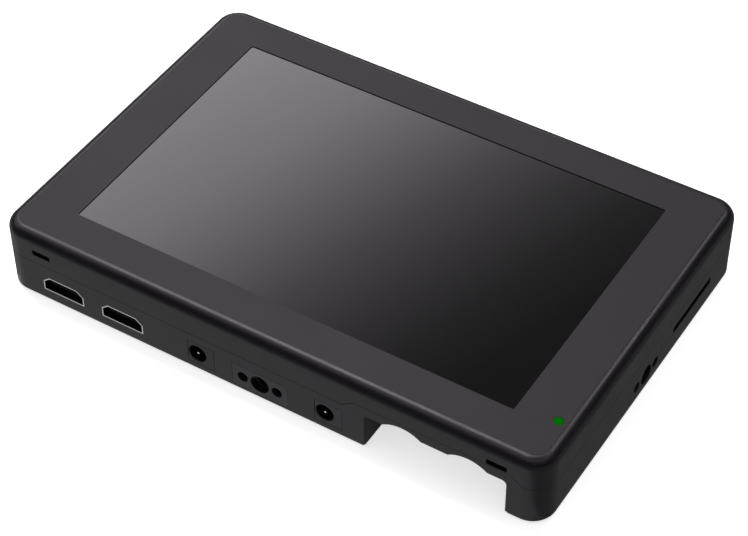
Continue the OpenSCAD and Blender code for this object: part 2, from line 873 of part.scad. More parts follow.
// Outline of a video socket as X and Z round its middle. Its wide side is nearest the back.
module video_outline(grow) {
    half = video_w / 2 + grow;
    narrow = video_narrow_w / 2 + grow * 0.5;
    low = -video_h / 2 - grow;
    high = video_h / 2 + grow;
    shoulder = -video_h / 2 + video_side_h + grow * 0.4;
    polygon([
        [-half, low], [half, low], [half, shoulder],
        [narrow, high], [-narrow, high], [-half, shoulder]
    ]);
}

module video_shell(x) {
    color([0.8, 0.8, 0.82])
    translate([x, 0, 0]) {
        translate([0, 0, port_z])
            from_connector_side(connector_y, video_l)
                difference() {
                    video_outline(0);
                    video_outline(-video_sheet);
                }
        for (side = [-1, 1], y = [4.5, 8.5])
            block(
                [side * 3.9 - 0.8, connector_y + y, port_z + video_h / 2 - video_sheet / 2],
                [side * 3.9 + 0.8, connector_y + y + 1.6, board_z]
            );
    }
}

module video_insert(x) {
    back_l = 2.8;
    tongue_w = video_narrow_w;
    color([0.06, 0.06, 0.06])
    translate([x, 0, port_z]) {
        from_connector_side(connector_y + video_l - back_l, back_l) video_outline(-video_sheet - screw_gap);
        block(
            [-tongue_w / 2, connector_y + 1, -0.35],
            [tongue_w / 2, connector_y + video_l - back_l, 1.05]
        );
    }
}

module power_socket(x) {
    color([0.2, 0.2, 0.2])
    difference() {
        block(
            [x - power_face_w / 2, connector_y, power_z - power_face_h / 2],
            [x + power_face_w / 2, connector_y + power_l, power_z + power_face_h / 2]
        );
        translate([x - power_hole_shift, connector_y - past, power_z])
            rotate([-90, 0, 0]) cylinder(r = power_hole_r, h = power_hole_l + past);
    }
}

module power_pin(x) {
    color([0.85, 0.85, 0.85])
    translate([x - power_hole_shift, connector_y + power_pin_drop, power_z])
        rotate([-90, 0, 0]) cylinder(r = power_pin_r, h = power_hole_l - power_pin_drop);
}

module card_socket() {
    half = card_socket_w / 2;
    low_z = board_z - card_socket_h;
    color([0.78, 0.78, 0.8])
    difference() {
        block([card_low_x, card_socket_y - half, low_z], [card_x, card_socket_y + half, board_z]);
        block(
            [card_room_x, card_socket_y - half + card_sheet, low_z + card_sheet],
            [card_x + past, card_socket_y + half - card_sheet, board_z - card_sheet]
        );
    }
}

// The slide that latches the card and pushes it out
module card_slide() {
    color([0.12, 0.12, 0.13]) {
        translate([card_hook_x, card_slide_y - card_hook_w, card_slide_low_z])
            cube([card_hook_t, card_hook_w, card_slide_h]);
        translate([card_hook_x, card_slide_y - card_arm_t, card_slide_low_z])
            cube([card_arm_l, card_arm_t, card_slide_h]);
    }
}

module card_spring() {
    color([0.7, 0.7, 0.7])
    translate([card_room_x, card_slide_y - card_hook_w / 2, card_slide_low_z + fit_gap])
        rotate([0, 0, -90])
            linear_extrude(card_slide_h - 2 * fit_gap)
                bent_leaf(card_hook_w - 1, card_hook_x - card_room_x, leaf_t);
}

// ---- Cooling ----

module blower_housing() {
    half = blower_w / 2;
    color([0.1, 0.1, 0.1])
    translate([blower_x, cooling_y, 0])
    difference() {
        union() {
            difference() {
                block([-half, -half, blower_z], [half, half, blower_top_z]);
                translate([0, 0, blower_z - past])
                    cylinder(r = cavity_r, h = past + blower_top_z - blower_top_t - blower_z);
                block([0, -cavity_r, blower_z - past], [half + past, 3, blower_top_z - blower_top_t]);
            }
            translate([0, 0, rotor_top_z + spindle_rim_gap])
                cylinder(r = spindle_foot_r, h = blower_top_z - rotor_top_z - spindle_rim_gap);
            translate([0, 0, rotor_z + spindle_end_gap])
                cylinder(r = spindle_r, h = blower_top_z - rotor_z - spindle_end_gap);
        }
        for (p = blower_screw_spots)
            translate([p.x - blower_x, p.y - cooling_y, 0]) {
                cylinder(r = small_screw_r + fit_gap, h = blower_top_z + past);
                translate([0, 0, blower_top_z - small_head_t])
                    cylinder(r = small_head_r + fit_gap, h = small_head_t + past);
            }
    }
}

module blower_lid() {
    color([0.13, 0.13, 0.13])
    translate([blower_x, cooling_y, back_t])
        linear_extrude(lid_t)
            difference() {
                square(blower_w, center = true);
                circle(intake_r);
                for (p = blower_screw_spots)
                    translate([p.x - blower_x, p.y - cooling_y]) circle(small_screw_r + fit_gap);
            }
}

module blower_rotor() {
    rotor_h = rotor_top_z - rotor_z;
    blade_in = hub_r + 1.5;
    color([0.16, 0.16, 0.17])
    translate([blower_x, cooling_y, rotor_z])
    difference() {
        union() {
            cylinder(r = hub_r, h = rotor_h);
            translate([0, 0, rotor_h - rotor_disc_t]) cylinder(r = rotor_r - 0.4, h = rotor_disc_t);
            for (k = [0:rotor_blades - 1])
                rotate([0, 0, 360 * k / rotor_blades])
                    translate([blade_in, 0, 0]) rotate([0, 0, 30])
                        cube([rotor_r - blade_in - 0.4, 0.8, rotor_h - rotor_disc_t / 2]);
        }
        translate([0, 0, -past]) cylinder(r = spindle_r + spindle_gap, h = rotor_h + 2 * past);
    }
}

// ---- Keys ----

module key_board() {
    left = power_key_x - key_board_end;
    right = key_spots[3] + key_board_end;
    color([0.05, 0.3, 0.18])
    block([left, key_board_face_y - key_board_t, back_t], [right, key_board_face_y, back_t + key_board_h]);
}

module key_switches() {
    color([0.75, 0.75, 0.77])
    for (x = switch_spots)
        difference() {
            block(
                [x - switch_w / 2, key_board_face_y, key_z - switch_w / 2],
                [x + switch_w / 2, switch_face_y, key_z + switch_w / 2]
            );
            translate([x, switch_face_y + past, key_z])
                rotate([90, 0, 0])
                    cylinder(r = plunger_r + spindle_gap, h = past + plunger_bore_l);
        }
}

// A key from its face inwards: the cap, the flange that keeps it in and a boss on the switch
module key_cap(x) {
    color([0.16, 0.16, 0.17])
    translate([x, 0, key_z]) {
        translate([0, key_side_y, 0])
            rotate([90, 0, 0]) linear_extrude(key_side_y - key_flange_y) children(0);
        translate([0, key_flange_y, 0]) rotate([90, 0, 0]) linear_extrude(key_flange_t) children(1);
        translate([0, key_flange_y - key_flange_t, 0])
            rotate([90, 0, 0]) cylinder(r = key_boss_r, h = key_boss_l);
    }
}

module power_key() {
    key_cap(power_key_x) {
        circle(power_key_r);
        circle(power_key_r + key_flange);
    }
}

module function_key(k) {
    key_cap(key_spots[k]) {
        pill(key_w, key_h);
        pill(key_w + 2 * key_flange, key_h + 2 * key_flange);
    }
}

module plunger(x) {
    color([0.9, 0.9, 0.88])
    translate([x, key_boss_y, key_z]) rotate([90, 0, 0]) cylinder(r = plunger_r, h = plunger_l);
}

module key_holes() {
    l = wall_t + 2 * past;
    translate([power_key_x, key_side_y + past, key_z])
        rotate([90, 0, 0]) linear_extrude(l) circle(power_key_r + key_gap);
    for (x = key_spots)
        translate([x, key_side_y + past, key_z])
            rotate([90, 0, 0]) linear_extrude(l) pill(key_w + 2 * key_gap, key_h + 2 * key_gap);
}

// ---- Rear cover ----

// Section of the rear cover's wall, with the round rear edge
module rear_wall_section() {
    translate([inside_r, rear_round]) square([wall_t, rear_top_z - rear_round]);
    translate([inside_r, 0]) square([wall_t - rear_round, rear_round + past]);
    intersection() {
        translate([corner_r - rear_round, rear_round]) circle(rear_round);
        translate([inside_r, 0]) square([wall_t, rear_round + past]);
    }
}

// A block over the latch, from the bay's roof up, that reaches further than the latch's flange by edge
module latch_block(edge, low_z, high_z) {
    half_w = latch_w / 2 + latch_flange + edge;
    half_l = latch_l / 2 + latch_flange + edge;
    block([bay_x - half_w, latch_y - half_l, low_z], [bay_x + half_w, latch_y + half_l, high_z]);
}

// The bay's walls and roof, the lip at its mouth and the cap over the latch
module bay_walls() {
    inner_y = connector_y + wall_t;
    wall_low_x = bay_left - bay_wall;
    wall_high_x = bay_right + bay_wall;
    block([wall_low_x, inner_y, 0], [wall_high_x, bay_end_y + bay_wall, bay_roof_z]);
    block([wall_low_x, inner_y, bay_depth], [wall_high_x, connector_y + lip_l, raised_parting_z - seam / 2]);
    intersection() {
        from_connector_side(connector_y, wall_t) raised_tab_outline(seam / 2);
        linear_extrude(body_t) rounded_rect(body_w, body_h, corner_r);
    }
    latch_block(latch_flange_gap + latch_cap_wall, bay_depth, latch_cap_z);
    for (p = plate_screw_spots)
        translate([p.x, p.y, bay_depth]) cylinder(r = small_screw_r + 1.2, h = plate_boss_z - bay_depth);
}

// The bay with its finger hollows, the room over the latch, and the holes for screws and contact tails
module bay_space() {
    from_connector_side(connector_y - past, past + bay_l) bay_section(bay_w, -past);
    for (x = [bay_left + finger_edge, bay_right - finger_edge])
        translate([x, connector_y - past, bay_depth + finger_rise - finger_r])
            rotate([-90, 0, 0]) cylinder(r = finger_r, h = finger_l + past);
    latch_block(latch_flange_gap, bay_depth - past, latch_cap_z - latch_cap_t);
    for (p = plate_screw_spots)
        translate([p.x, p.y, bay_depth - past])
            cylinder(r = small_screw_r + screw_gap, h = past + plate_boss_z - bay_depth - plate_boss_cap_t);
    contact_tail_holes(bay_depth - past, bay_roof_z + past);
}

module contact_tail_holes(low_z, high_z) {
    for (k = [-1:1])
        block(
            [bay_x + k * contact_pitch - contact_t / 2 - screw_gap, tail_y - screw_gap, low_z],
            [bay_x + k * contact_pitch + contact_t / 2 + screw_gap, tail_y + tail_l + screw_gap, high_z]
        );
}

// A window in the connector side's wall round something of the given width, from low_z to high_z
module connector_window(x, w, low_z, high_z) {
    block([x - w / 2, connector_y - past, low_z], [x + w / 2, connector_y + wall_t + past, high_z]);
}

module port_openings() {
    power_half_h = power_face_h / 2 + fit_gap;
    block_window_w = block_w + 2 * screw_gap;
    block_top_z = back_t + block_h + screw_gap;
    for (x = [video_in_x, video_out_x])
        translate([x, 0, port_z])
            from_connector_side(connector_y - past, wall_t + 2 * past) video_outline(fit_gap);
    for (x = [inlet_x, outlet_x])
        connector_window(x, power_face_w + 2 * fit_gap, power_z - power_half_h, power_z + power_half_h);
    connector_window(0, block_window_w, back_t, block_top_z);
    block(
        [side_x - wall_t - past, -block_window_w / 2, back_t],
        [side_x + past, block_window_w / 2, block_top_z]
    );
    translate([side_x - wall_t - past, card_socket_y, card_z])
        rotate([90, 0, 90]) linear_extrude(wall_t + 2 * past) rounded_rect(card_slot_l, card_slot_h, 0.4);
}

// Slots across the blower's round intake, and slots between the heat sink and the bay to let the air out
module rear_vents() {
    translate([blower_x, cooling_y, -past])
        linear_extrude(back_t + 2 * past)
            intersection() {
                circle(intake_r);
                for (k = [-3:3])
                    translate([0, k * 3.2]) pill(2 * intake_r - abs(k) * 3, vent_slot_w);
            }
    for (k = [0:7])
        translate([(vent_low_x + vent_high_x) / 2, cooling_y + (k - 3.5) * 4, -past])
            linear_extrude(back_t + 2 * past) pill(vent_high_x - vent_low_x, vent_slot_w);
}

module rear_cover() {
    color([0.2, 0.2, 0.2])
    difference() {
        union() {
            swept_wall() rear_wall_section();
            linear_extrude(back_t) rounded_rect(inside_w, inside_h, inside_r);
            bay_walls();
            for (p = post_spots)
                translate(p) cylinder(r = post_r, h = chassis_z);
            for (p = standoff_spots)
                translate(p) cylinder(r = standoff_r, h = board_z);
            for (x = [power_key_x + first_key_offset / 2, key_spots[2] + key_pitch / 2])
                translate([x - key_rib_w / 2, key_rib_y - key_rib_t, 0])
                    cube([key_rib_w, key_rib_t, back_t + key_board_h]);
        }
        bay_space();
        port_openings();
        key_holes();
        rear_vents();
        for (p = post_spots)
            translate([p.x, p.y, -past]) {
                cylinder(r = screw_head_r + fit_gap, h = past + screw_sink + screw_head_t);
                cylinder(r = cover_screw_r + fit_gap, h = chassis_z + 2 * past);
            }
        for (p = standoff_spots)
            translate([p.x, p.y, back_t]) cylinder(r = small_screw_r + screw_gap, h = board_z);
        for (p = blower_screw_spots)
            translate([p.x, p.y, 0.6]) cylinder(r = small_screw_r + screw_gap, h = back_t);
        for (p = block_screw_spots)
            translate(p) {
                cylinder(r1 = block_head_r + fit_gap, r2 = small_screw_r + fit_gap, h = block_head_t);
                cylinder(r = small_screw_r + fit_gap, h = back_t + past);
            }
    }
}

// ---- Battery plate ----

// A block beside the battery on one side of the bay, from the inner to the outer distance off its middle
module beside_battery(side, inner, outer, y, low_z, high_z) {
    xs = [bay_x + side * inner, bay_x + side * outer];
    block([min(xs), y, low_z], [max(xs), y + hook_l, high_z]);
}

module battery_plate() {
    half = battery_w / 2;
    color([0.12, 0.12, 0.13])
    difference() {
        union() {
            from_connector_side(plate_mouth_y, plate_l) bay_section(plate_w, plate_z);
            for (s = [-1, 1], y = hook_spots) {
                beside_battery(s, half, half + hook_t, y, hook_z, plate_z);
                beside_battery(s, half - hook_lip, half + hook_t, y, hook_z, hook_z + hook_lip_t);
            }
            block(
                [bay_x - contact_block_w / 2, plate_end_y - contact_block_l, hook_z],
                [bay_x + contact_block_w / 2, plate_end_y, plate_z]
            );
        }
        // slots for the contact blades, the latch's window and the screws
        for (k = [-1:1])
            translate([bay_x + k * contact_pitch, 0, 0])
                block(
                    [-contact_t / 2 - 0.3, plate_end_y - contact_block_l - past, hook_z - past],
                    [contact_t / 2 + 0.3, tail_y + tail_l + screw_gap, plate_z]
                );
        contact_tail_holes(plate_z - past, bay_depth + past);
        block(
            [bay_x - latch_w / 2 - fit_gap, latch_y - latch_l / 2 - fit_gap, plate_z - past],
            [bay_x + latch_w / 2 + fit_gap, latch_y + latch_l / 2 + fit_gap, bay_depth + past]
        );
        for (p = plate_screw_spots)
            translate([p.x, p.y, plate_z - past]) {
                cylinder(r = small_head_r + fit_gap, h = past + small_head_t);
                cylinder(r = small_screw_r + fit_gap, h = plate_t + 2 * past);
            }
    }
}

// Three blades in the block's slots, each with a tail that goes up through plate and roof
module battery_contacts() {
    color([0.85, 0.65, 0.3])
    for (k = [-1:1])
        translate([bay_x + k * contact_pitch, 0, 0]) {
            block(
                [-contact_t / 2, tail_y + tail_l - blade_l, hook_z + 1],
                [contact_t / 2, tail_y + tail_l, plate_z]
            );
            block([-contact_t / 2, tail_y, hook_z + 1], [contact_t / 2, tail_y + tail_l, contact_top_z]);
        }
}

// The latch: a tongue with a ramp towards the bay's mouth, on a flange that rests on the plate
module battery_latch() {
    low = plate_z - latch_reach;
    color([0.75, 0.3, 0.1]) {
        translate([bay_x - latch_w / 2, latch_y, 0])
            rotate([90, 0, 90])
                linear_extrude(latch_w)
                    polygon([
                        [-latch_l / 2, plate_z - 0.2], [latch_l / 2 - 1, low], [latch_l / 2, low],
                        [latch_l / 2, bay_depth], [-latch_l / 2, bay_depth]
                    ]);
        latch_block(0, bay_depth, bay_depth + latch_flange_t);
    }
}

// A bent leaf between the latch's flange and the cap above it
module latch_spring() {
    color([0.7, 0.7, 0.7])
    translate([bay_x, latch_y + 2, bay_depth + latch_flange_t])
        rotate([90, 0, 0]) linear_extrude(4) bent_leaf(latch_w, latch_room, leaf_t);
}

module battery_lead() {
    half = contact_pitch + 2;
    low = contact_top_z;
    end_y = lead_socket_y + 1;
    color([0.7, 0.45, 0.2])
    translate([bay_x - half, 0, 0])
        rotate([90, 0, 90])
            linear_extrude(2 * half)
                polygon([
                    [tail_y - 0.5, low], [end_y - lead_t, low], [end_y - lead_t, board_top_z + lead_socket_h],
                    [end_y, board_top_z + lead_socket_h], [end_y, low + lead_t], [tail_y - 0.5, low + lead_t]
                ]);
}

// ---- Mount blocks ----

// The face of a mount block lies on Y = 0, and the block runs towards +Y
module mount_block(depth, thread_depth) {
    color([0.2, 0.2, 0.2])
    difference() {
        block([-block_w / 2, 0, back_t], [block_w / 2, depth, back_t + block_h]);
        translate([0, -past, mount_z]) rotate([-90, 0, 0]) cylinder(r = thread_r, h = thread_depth + past);
        for (s = [-1, 1])
            translate([s * locator_pitch / 2, -past, mount_z])
                rotate([-90, 0, 0]) cylinder(r = locator_r, h = locator_l + past);
        children();
    }
}

module block_screw_hole() {
    translate([0, 0, back_t - past]) cylinder(r = small_screw_r + screw_gap, h = past + block_screw_l + 0.5);
}

module mount_block_bottom() {
    translate([0, connector_y, 0])
        mount_block(block_l, thread_l)
            for (s = [-1, 1])
                translate([s * block_screw_x, block_screw_in, 0]) block_screw_hole();
}

module mount_block_side() {
    translate([side_x, 0, 0]) rotate([0, 0, 90])
        mount_block(side_block_l, side_thread_l)
            for (s = [-1, 1])
                translate([s * block_screw_x, side_screw_in, 0]) block_screw_hole();
}

// ---- Fasteners ----

module cover_screws() {
    head_z = screw_sink + screw_head_t;
    color([0.15, 0.15, 0.16])
    for (p = post_spots)
        translate([p.x, p.y, head_z])
            screw(cover_screw_r, gasket_z - 1 - head_z, screw_head_r, screw_head_t);
}

module board_screws() {
    color([0.7, 0.7, 0.72])
    for (p = standoff_spots)
        translate([p.x, p.y, board_top_z]) rotate([180, 0, 0])
            screw(small_screw_r, board_t + board_screw_l, small_head_r, small_head_t);
}

module plate_screws() {
    head_z = plate_z + small_head_t;
    color([0.6, 0.6, 0.62])
    for (p = plate_screw_spots)
        translate([p.x, p.y, head_z])
            screw(small_screw_r, plate_boss_z - 0.5 - head_z, small_head_r, small_head_t);
}

module block_screws() {
    color([0.15, 0.15, 0.16])
    for (p = block_screw_spots)
        translate([p.x, p.y, 0])
            flat_screw(small_screw_r, back_t + block_screw_l, block_head_r, block_head_t);
}

module blower_screws() {
    color([0.7, 0.7, 0.72])
    for (p = blower_screw_spots)
        translate([p.x, p.y, blower_top_z - small_head_t]) rotate([180, 0, 0])
            screw(small_screw_r, blower_h - small_head_t + 0.9, small_head_r, small_head_t);
}

front_shell();
front_bezel();
cover_glass();
glass_gasket();
lcd_top_frame();
lcd_cell();
backlight_unit();
lcd_tray();
chassis_plate();
led_board();
status_led();
light_pipe();
main_board();
board_chips();
board_power_parts();
board_sockets();
processor();
heat_sink();
video_shell(video_in_x);  // video_in_shell
video_insert(video_in_x);  // video_in_insert
video_shell(video_out_x);  // video_out_shell
video_insert(video_out_x);  // video_out_insert
power_socket(inlet_x);  // power_inlet
power_pin(inlet_x);  // power_inlet_pin
power_socket(outlet_x);  // power_outlet
power_pin(outlet_x);  // power_outlet_pin
card_socket();
card_slide();
card_spring();
blower_housing();
blower_lid();
blower_rotor();
key_board();
key_switches();
power_key();
plunger(power_key_x);  // power_plunger
function_key(0);  // key_1
plunger(key_spots[0]);  // key_1_plunger
function_key(1);  // key_2
plunger(key_spots[1]);  // key_2_plunger
function_key(2);  // key_3
plunger(key_spots[2]);  // key_3_plunger
function_key(3);  // key_4
plunger(key_spots[3]);  // key_4_plunger
rear_cover();
battery_plate();
battery_contacts();
battery_latch();
latch_spring();
mount_block_bottom();
mount_block_side();
lcd_flex();
battery_lead();
cover_screws();
board_screws();
plate_screws();
block_screws();
blower_screws();
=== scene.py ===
"""Looks of a 7 inch camera field monitor that lies on its back, with its studio and camera."""

import json
import math

import bmesh
import bpy
from bpy.props import FloatProperty, FloatVectorProperty, PointerProperty
from mathutils import Euler, Matrix, Vector


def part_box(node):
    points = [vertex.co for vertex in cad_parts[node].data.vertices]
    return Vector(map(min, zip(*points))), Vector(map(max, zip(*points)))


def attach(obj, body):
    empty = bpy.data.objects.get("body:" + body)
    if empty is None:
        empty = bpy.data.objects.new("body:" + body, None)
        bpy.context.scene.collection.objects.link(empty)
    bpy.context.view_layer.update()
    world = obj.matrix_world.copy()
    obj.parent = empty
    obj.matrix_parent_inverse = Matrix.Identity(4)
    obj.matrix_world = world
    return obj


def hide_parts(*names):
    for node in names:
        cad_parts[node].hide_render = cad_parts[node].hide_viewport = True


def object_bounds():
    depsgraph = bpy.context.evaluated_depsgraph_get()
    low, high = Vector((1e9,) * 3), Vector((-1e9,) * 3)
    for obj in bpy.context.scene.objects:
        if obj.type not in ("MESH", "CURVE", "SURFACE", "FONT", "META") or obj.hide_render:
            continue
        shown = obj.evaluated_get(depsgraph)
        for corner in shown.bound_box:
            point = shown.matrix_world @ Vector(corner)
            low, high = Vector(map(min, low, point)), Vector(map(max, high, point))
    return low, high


bl_info = {
    "name": "Camera field monitor",
    "version": (1, 0, 0),
    "blender": (4, 5, 0),
    "location": "View3D > Sidebar > Monitor",
    "description": "Builds a camera field monitor round its CAD frame",
    "category": "Object",
}

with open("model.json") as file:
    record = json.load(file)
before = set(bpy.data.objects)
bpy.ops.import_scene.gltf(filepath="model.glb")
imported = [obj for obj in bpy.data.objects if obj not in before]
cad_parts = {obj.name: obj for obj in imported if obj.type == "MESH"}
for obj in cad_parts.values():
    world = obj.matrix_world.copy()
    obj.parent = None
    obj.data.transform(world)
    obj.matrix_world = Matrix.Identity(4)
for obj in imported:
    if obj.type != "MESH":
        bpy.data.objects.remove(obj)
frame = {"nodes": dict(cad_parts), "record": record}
CAD_BOUNDS = [list(corner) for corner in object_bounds()]
RECORD = frame["record"]
MM = 0.001
# Places closer to each other than this are the same.
TOUCH = 0.01 * MM
# A CAD mesh's corners are welded, and its faces merged, up to these.
WELD = 0.002 * MM
FLAT = math.radians(0.6)
# Edges sharper than the first are broken. Edges softer than the second are shaded smooth.
SHARP = math.radians(35)
SMOOTH = math.radians(40)
# How far a cutter reaches past what it cuts.
OVER = 1 * MM
UP = (0, 0, 1)
# The object's materials, made once by make_materials.
MATERIALS = {}
# Nearly all of a noise texture's values lie between these.
NOISE_LOW, NOISE_HIGH = 0.3, 0.7
# The photograph's blacks lean to violet, in the gloss of every dark surface.
COOL_GLOSS = (1.0, 0.93, 1.0, 1.0)


def linear(hex_colour):
    """Turns an sRGB hex colour into linear red, green and blue."""
    channels = [int(hex_colour[i : i + 2], 16) / 255 for i in (1, 3, 5)]
    return [c / 12.92 if c <= 0.04045 else ((c + 0.055) / 1.055) ** 2.4 for c in channels]


def colour_property(name, description, hex_colour):
    return FloatVectorProperty(
        name=name, description=description, default=linear(hex_colour), subtype="COLOR", min=0, max=1)


def number_property(name, description, value, **kind):
    return FloatProperty(name=name, description=description, default=value, **kind)


def length_property(name, description, millimetres):
    return number_property(name, description, millimetres * MM, unit="LENGTH", min=0, precision=5)


def angle_property(name, description, degrees):
    return number_property(name, description, math.radians(degrees), subtype="ANGLE", unit="ROTATION")


# ---- Settings ----


class MonitorSizes(bpy.types.PropertyGroup):
    corner_radius: length_property("Corner radius", "Radius of the case's upright corners", 7.7)
    panel_corner_radius: length_property("Panel corners", "Corner radius of the front panel", 4.3)
    cavity_corner_radius: length_property("Inner corners", "Corner radius inside the case's walls", 5.5)
    front_round: length_property("Front edge", "Radius of the round front edge", 3.4)
    wall: length_property("Wall", "Thickness of the case's walls", 2.2)
    window_width: length_property("Window width", "Width of the front panel's window", 151.4)
    window_height: length_property("Window height", "Height of the front panel's window", 94.8)
    window_corner_radius: length_property("Window corners", "Corner radius of the window", 0.6)
    glass_corner_radius: length_property("Glass corners", "Corner radius of the glass", 3)
    panel_gap: length_property("Panel gap", "Gap between the front panel and the case", 0.06)
    glass_gap: length_property("Glass gap", "Gap between the glass and the case", 0.15)
    light_gap: length_property("Light gap", "Gap from the status light to the case, twice the panel's", 0.1)
    step_slope: length_property("Step slope", "Width of the slopes of the parting line's step", 3.9)
    slot_length: length_property("Clip slot length", "Length of a clip slot for a sun hood", 6.7)
    slot_height: length_property("Clip slot height", "Height of a clip slot for a sun hood", 1.95)
    slot_edge: length_property("Clip slot place", "Distance from the case's side to a clip slot", 15.55)
    slot_depth: length_property("Clip slot depth", "Depth of a clip slot for a sun hood", 1.6)
    slot_corner_radius: length_property("Clip slot corners", "Corner radius of a clip slot", 0.6)
    bay_edge_radius: length_property(
        "Bay edge", "Radius of the bay's side walls where they end at the back", 0.8)
    case_edge: length_property("Case edge", "Width of the small bevel along the case's edges", 0.072)
    cover_edge: length_property("Cover edge", "Width of the small bevel along the cover's edges", 0.108)
    funnel: length_property("Funnel", "Width of the funnel in a power socket's mouth", 0.35)
    socket_back: length_property("Socket back", "Thickness of a power socket's back", 3)
    pin_tip_radius: length_property("Pin tip", "Radius of a power pin's round tip", 0.7)
    thread_pitch: length_property("Thread pitch", "Pitch of the 1/4 inch mount threads", 1.27)
    thread_depth: length_property("Thread depth", "Height of the mount thread's ridge", 0.69)
    contact_pitch: length_property("Contact pitch", "Pitch of the video sockets' contacts", 0.5)
    contact_width: length_property("Contact width", "Width of a video socket's contact", 0.3)
    contact_thickness: length_property("Contact thickness", "Thickness of a video socket's contact", 0.08)


class MonitorColours(bpy.types.PropertyGroup):
    shell: colour_property("Case", "Moulded plastic of the case and rear cover", "#151316")
    bezel: colour_property("Front panel", "Printed film on the front panel", "#2b282b")
    glass: colour_property("Glass", "Display seen through its glass while it is off", "#0c0b0c")
    lens: colour_property("Status light", "Tinted window of the status light", "#015a08")
    sockets: colour_property("Power outlet", "Plastic of the power outlet and the battery latch", "#2c2a2d")
    keys: colour_property("Keys", "Plastic of the keys", "#29282a")
    nickel: colour_property("Nickel", "Nickel plating of the sockets' metal", "#dddad8")
    brass: colour_property("Brass", "Gold plated brass of the contacts", "#c79a4a")
    blackened: colour_property("Blackened metal", "Black anodised and black oxide metal", "#1b191c")


class StudioSettings(bpy.types.PropertyGroup):
    camera_place: FloatVectorProperty(
        name="Camera", description="Where the camera stands", unit="LENGTH",
        default=(0.25808, -0.41285, 0.48354), precision=5,
    )
    camera_elevation: angle_property("Elevation", "How far the camera looks down", 44.708)
    camera_azimuth: angle_property(
        "Azimuth", "How far the camera stands to the right of the connector side", 31.949)
    camera_roll: angle_property("Roll", "How far the camera leans", -0.33)
    camera_lens: number_property(
        "Lens", "Focal length on a 36 mm wide sensor, in mm", 105.892, subtype="DISTANCE_CAMERA",
        unit="CAMERA",
    )
    floor_size: number_property("Floor", "Width of the floor", 8, unit="LENGTH", min=1)
    floor_glow: number_property("Floor glow", "What brings the lit paper to white", 0.6, min=0)
    top_light: number_property("Top light", "Power of the soft light overhead", 9.0, unit="POWER", min=0)
    edge_light: number_property(
        "Edge light", "Power of the light that draws the right edge", 2.0, unit="POWER", min=0)
    sky: number_property("Sky", "Strength of the even light from all round", 0.5, min=0, max=2)
    sheen: number_property("Sheen", "Strength of the card that the display mirrors", 4.0, min=0)


# ---- Modelling ----


def deselect():
    if bpy.context.object and bpy.context.object.mode != "OBJECT":
        bpy.ops.object.mode_set(mode="OBJECT")
    bpy.ops.object.select_all(action="DESELECT")


def pick(piece):
    """Makes a piece the only selected and the active object."""
    deselect()
    piece.select_set(True)
    bpy.context.view_layer.objects.active = piece
    return piece


def added(name):
    """Names what was just added, and keeps its place in its mesh."""
    piece = pick(bpy.context.object)
    piece.name = name
    bpy.ops.object.transform_apply(location=True, rotation=True, scale=True)
    return piece


def block(name, low, high):
    """Adds a cube from its lowest to its highest corner."""
    low, high = Vector(low), Vector(high)
    deselect()
    bpy.ops.mesh.primitive_cube_add(size=1, location=(low + high) / 2, scale=high - low)
    return added(name)


def rod(name, start, radius, length, direction, sides=48):
    """Adds a cylinder that runs from its start along a direction."""
    direction = Vector(direction).normalized()
    deselect()
    bpy.ops.mesh.primitive_cylinder_add(
        vertices=sides, radius=radius, depth=length, location=Vector(start) + direction * length / 2,
        rotation=direction.to_track_quat("Z", "Y").to_euler(),
    )
    return added(name)


def change_edges(piece, wanted, change, **settings):
    """Runs a mesh tool on the edges that pass a test, which gets each edge's two ends."""
    pick(piece)
    bpy.ops.object.mode_set(mode="EDIT")
    bpy.ops.mesh.select_mode(type="EDGE")
    bpy.ops.mesh.select_all(action="DESELECT")
    mesh = bmesh.from_edit_mesh(piece.data)
    for edge in mesh.edges:
        edge.select = wanted(edge.verts[0].co, edge.verts[1].co)
    mesh.select_flush_mode()
    bmesh.update_edit_mesh(piece.data)
    change(**settings)
    bpy.ops.object.mode_set(mode="OBJECT")
    return piece


def round_edges(piece, wanted, radius, segments):
    return change_edges(
        piece, wanted, bpy.ops.mesh.bevel, offset=radius, segments=segments, profile=0.5, affect="EDGES")


def along(axis):
    """Tests whether an edge runs along an axis."""
    others = [i for i in range(3) if i != axis]
    return lambda a, b: all(abs(a[i] - b[i]) < TOUCH for i in others)


def level(axis, place):
    """Tests whether an edge lies in the plane at a place on an axis."""
    return lambda a, b: abs(a[axis] - place) < TOUCH and abs(b[axis] - place) < TOUCH


def rounded_block(name, low, high, radius, axis=2, segments=14):
    """Adds a block whose edges along an axis are round."""
    return round_edges(block(name, low, high), along(axis), radius, segments)


def modify(piece, kind, **settings):
    """Adds a modifier of a kind to a piece, sets it and applies it."""
    pick(piece)
    modifier = piece.modifiers.new(kind.title(), kind)
    for name, value in settings.items():
        setattr(modifier, name, value)
    bpy.ops.object.modifier_apply(modifier=modifier.name)
    return piece


def combine(piece, other, operation):
    modify(piece, "BOOLEAN", operation=operation, solver="EXACT", object=other)
    bpy.data.objects.remove(other, do_unlink=True)
    return piece


def cut(piece, *cutters):
    for cutter in cutters:
        combine(piece, cutter, "DIFFERENCE")
    return piece


def finish_edges(piece, width, segments=2):
    """Breaks a piece's sharp edges with a small bevel and shades its faces smooth up to it."""
    if width:
        modify(
            piece, "BEVEL", width=width, segments=segments, limit_method="ANGLE", angle_limit=SHARP,
            miter_outer="MITER_ARC",
        )
    pick(piece)
    bpy.ops.object.shade_smooth_by_angle(angle=SMOOTH)
    # Flat faces stay flat beside the bevels.
    return modify(piece, "WEIGHTED_NORMAL", keep_sharp=True, weight=100)


def join(name, pieces):
    deselect()
    for piece in pieces:
        piece.select_set(True)
    bpy.context.view_layer.objects.active = pieces[0]
    bpy.ops.object.join()
    pieces[0].name = name
    return pieces[0]


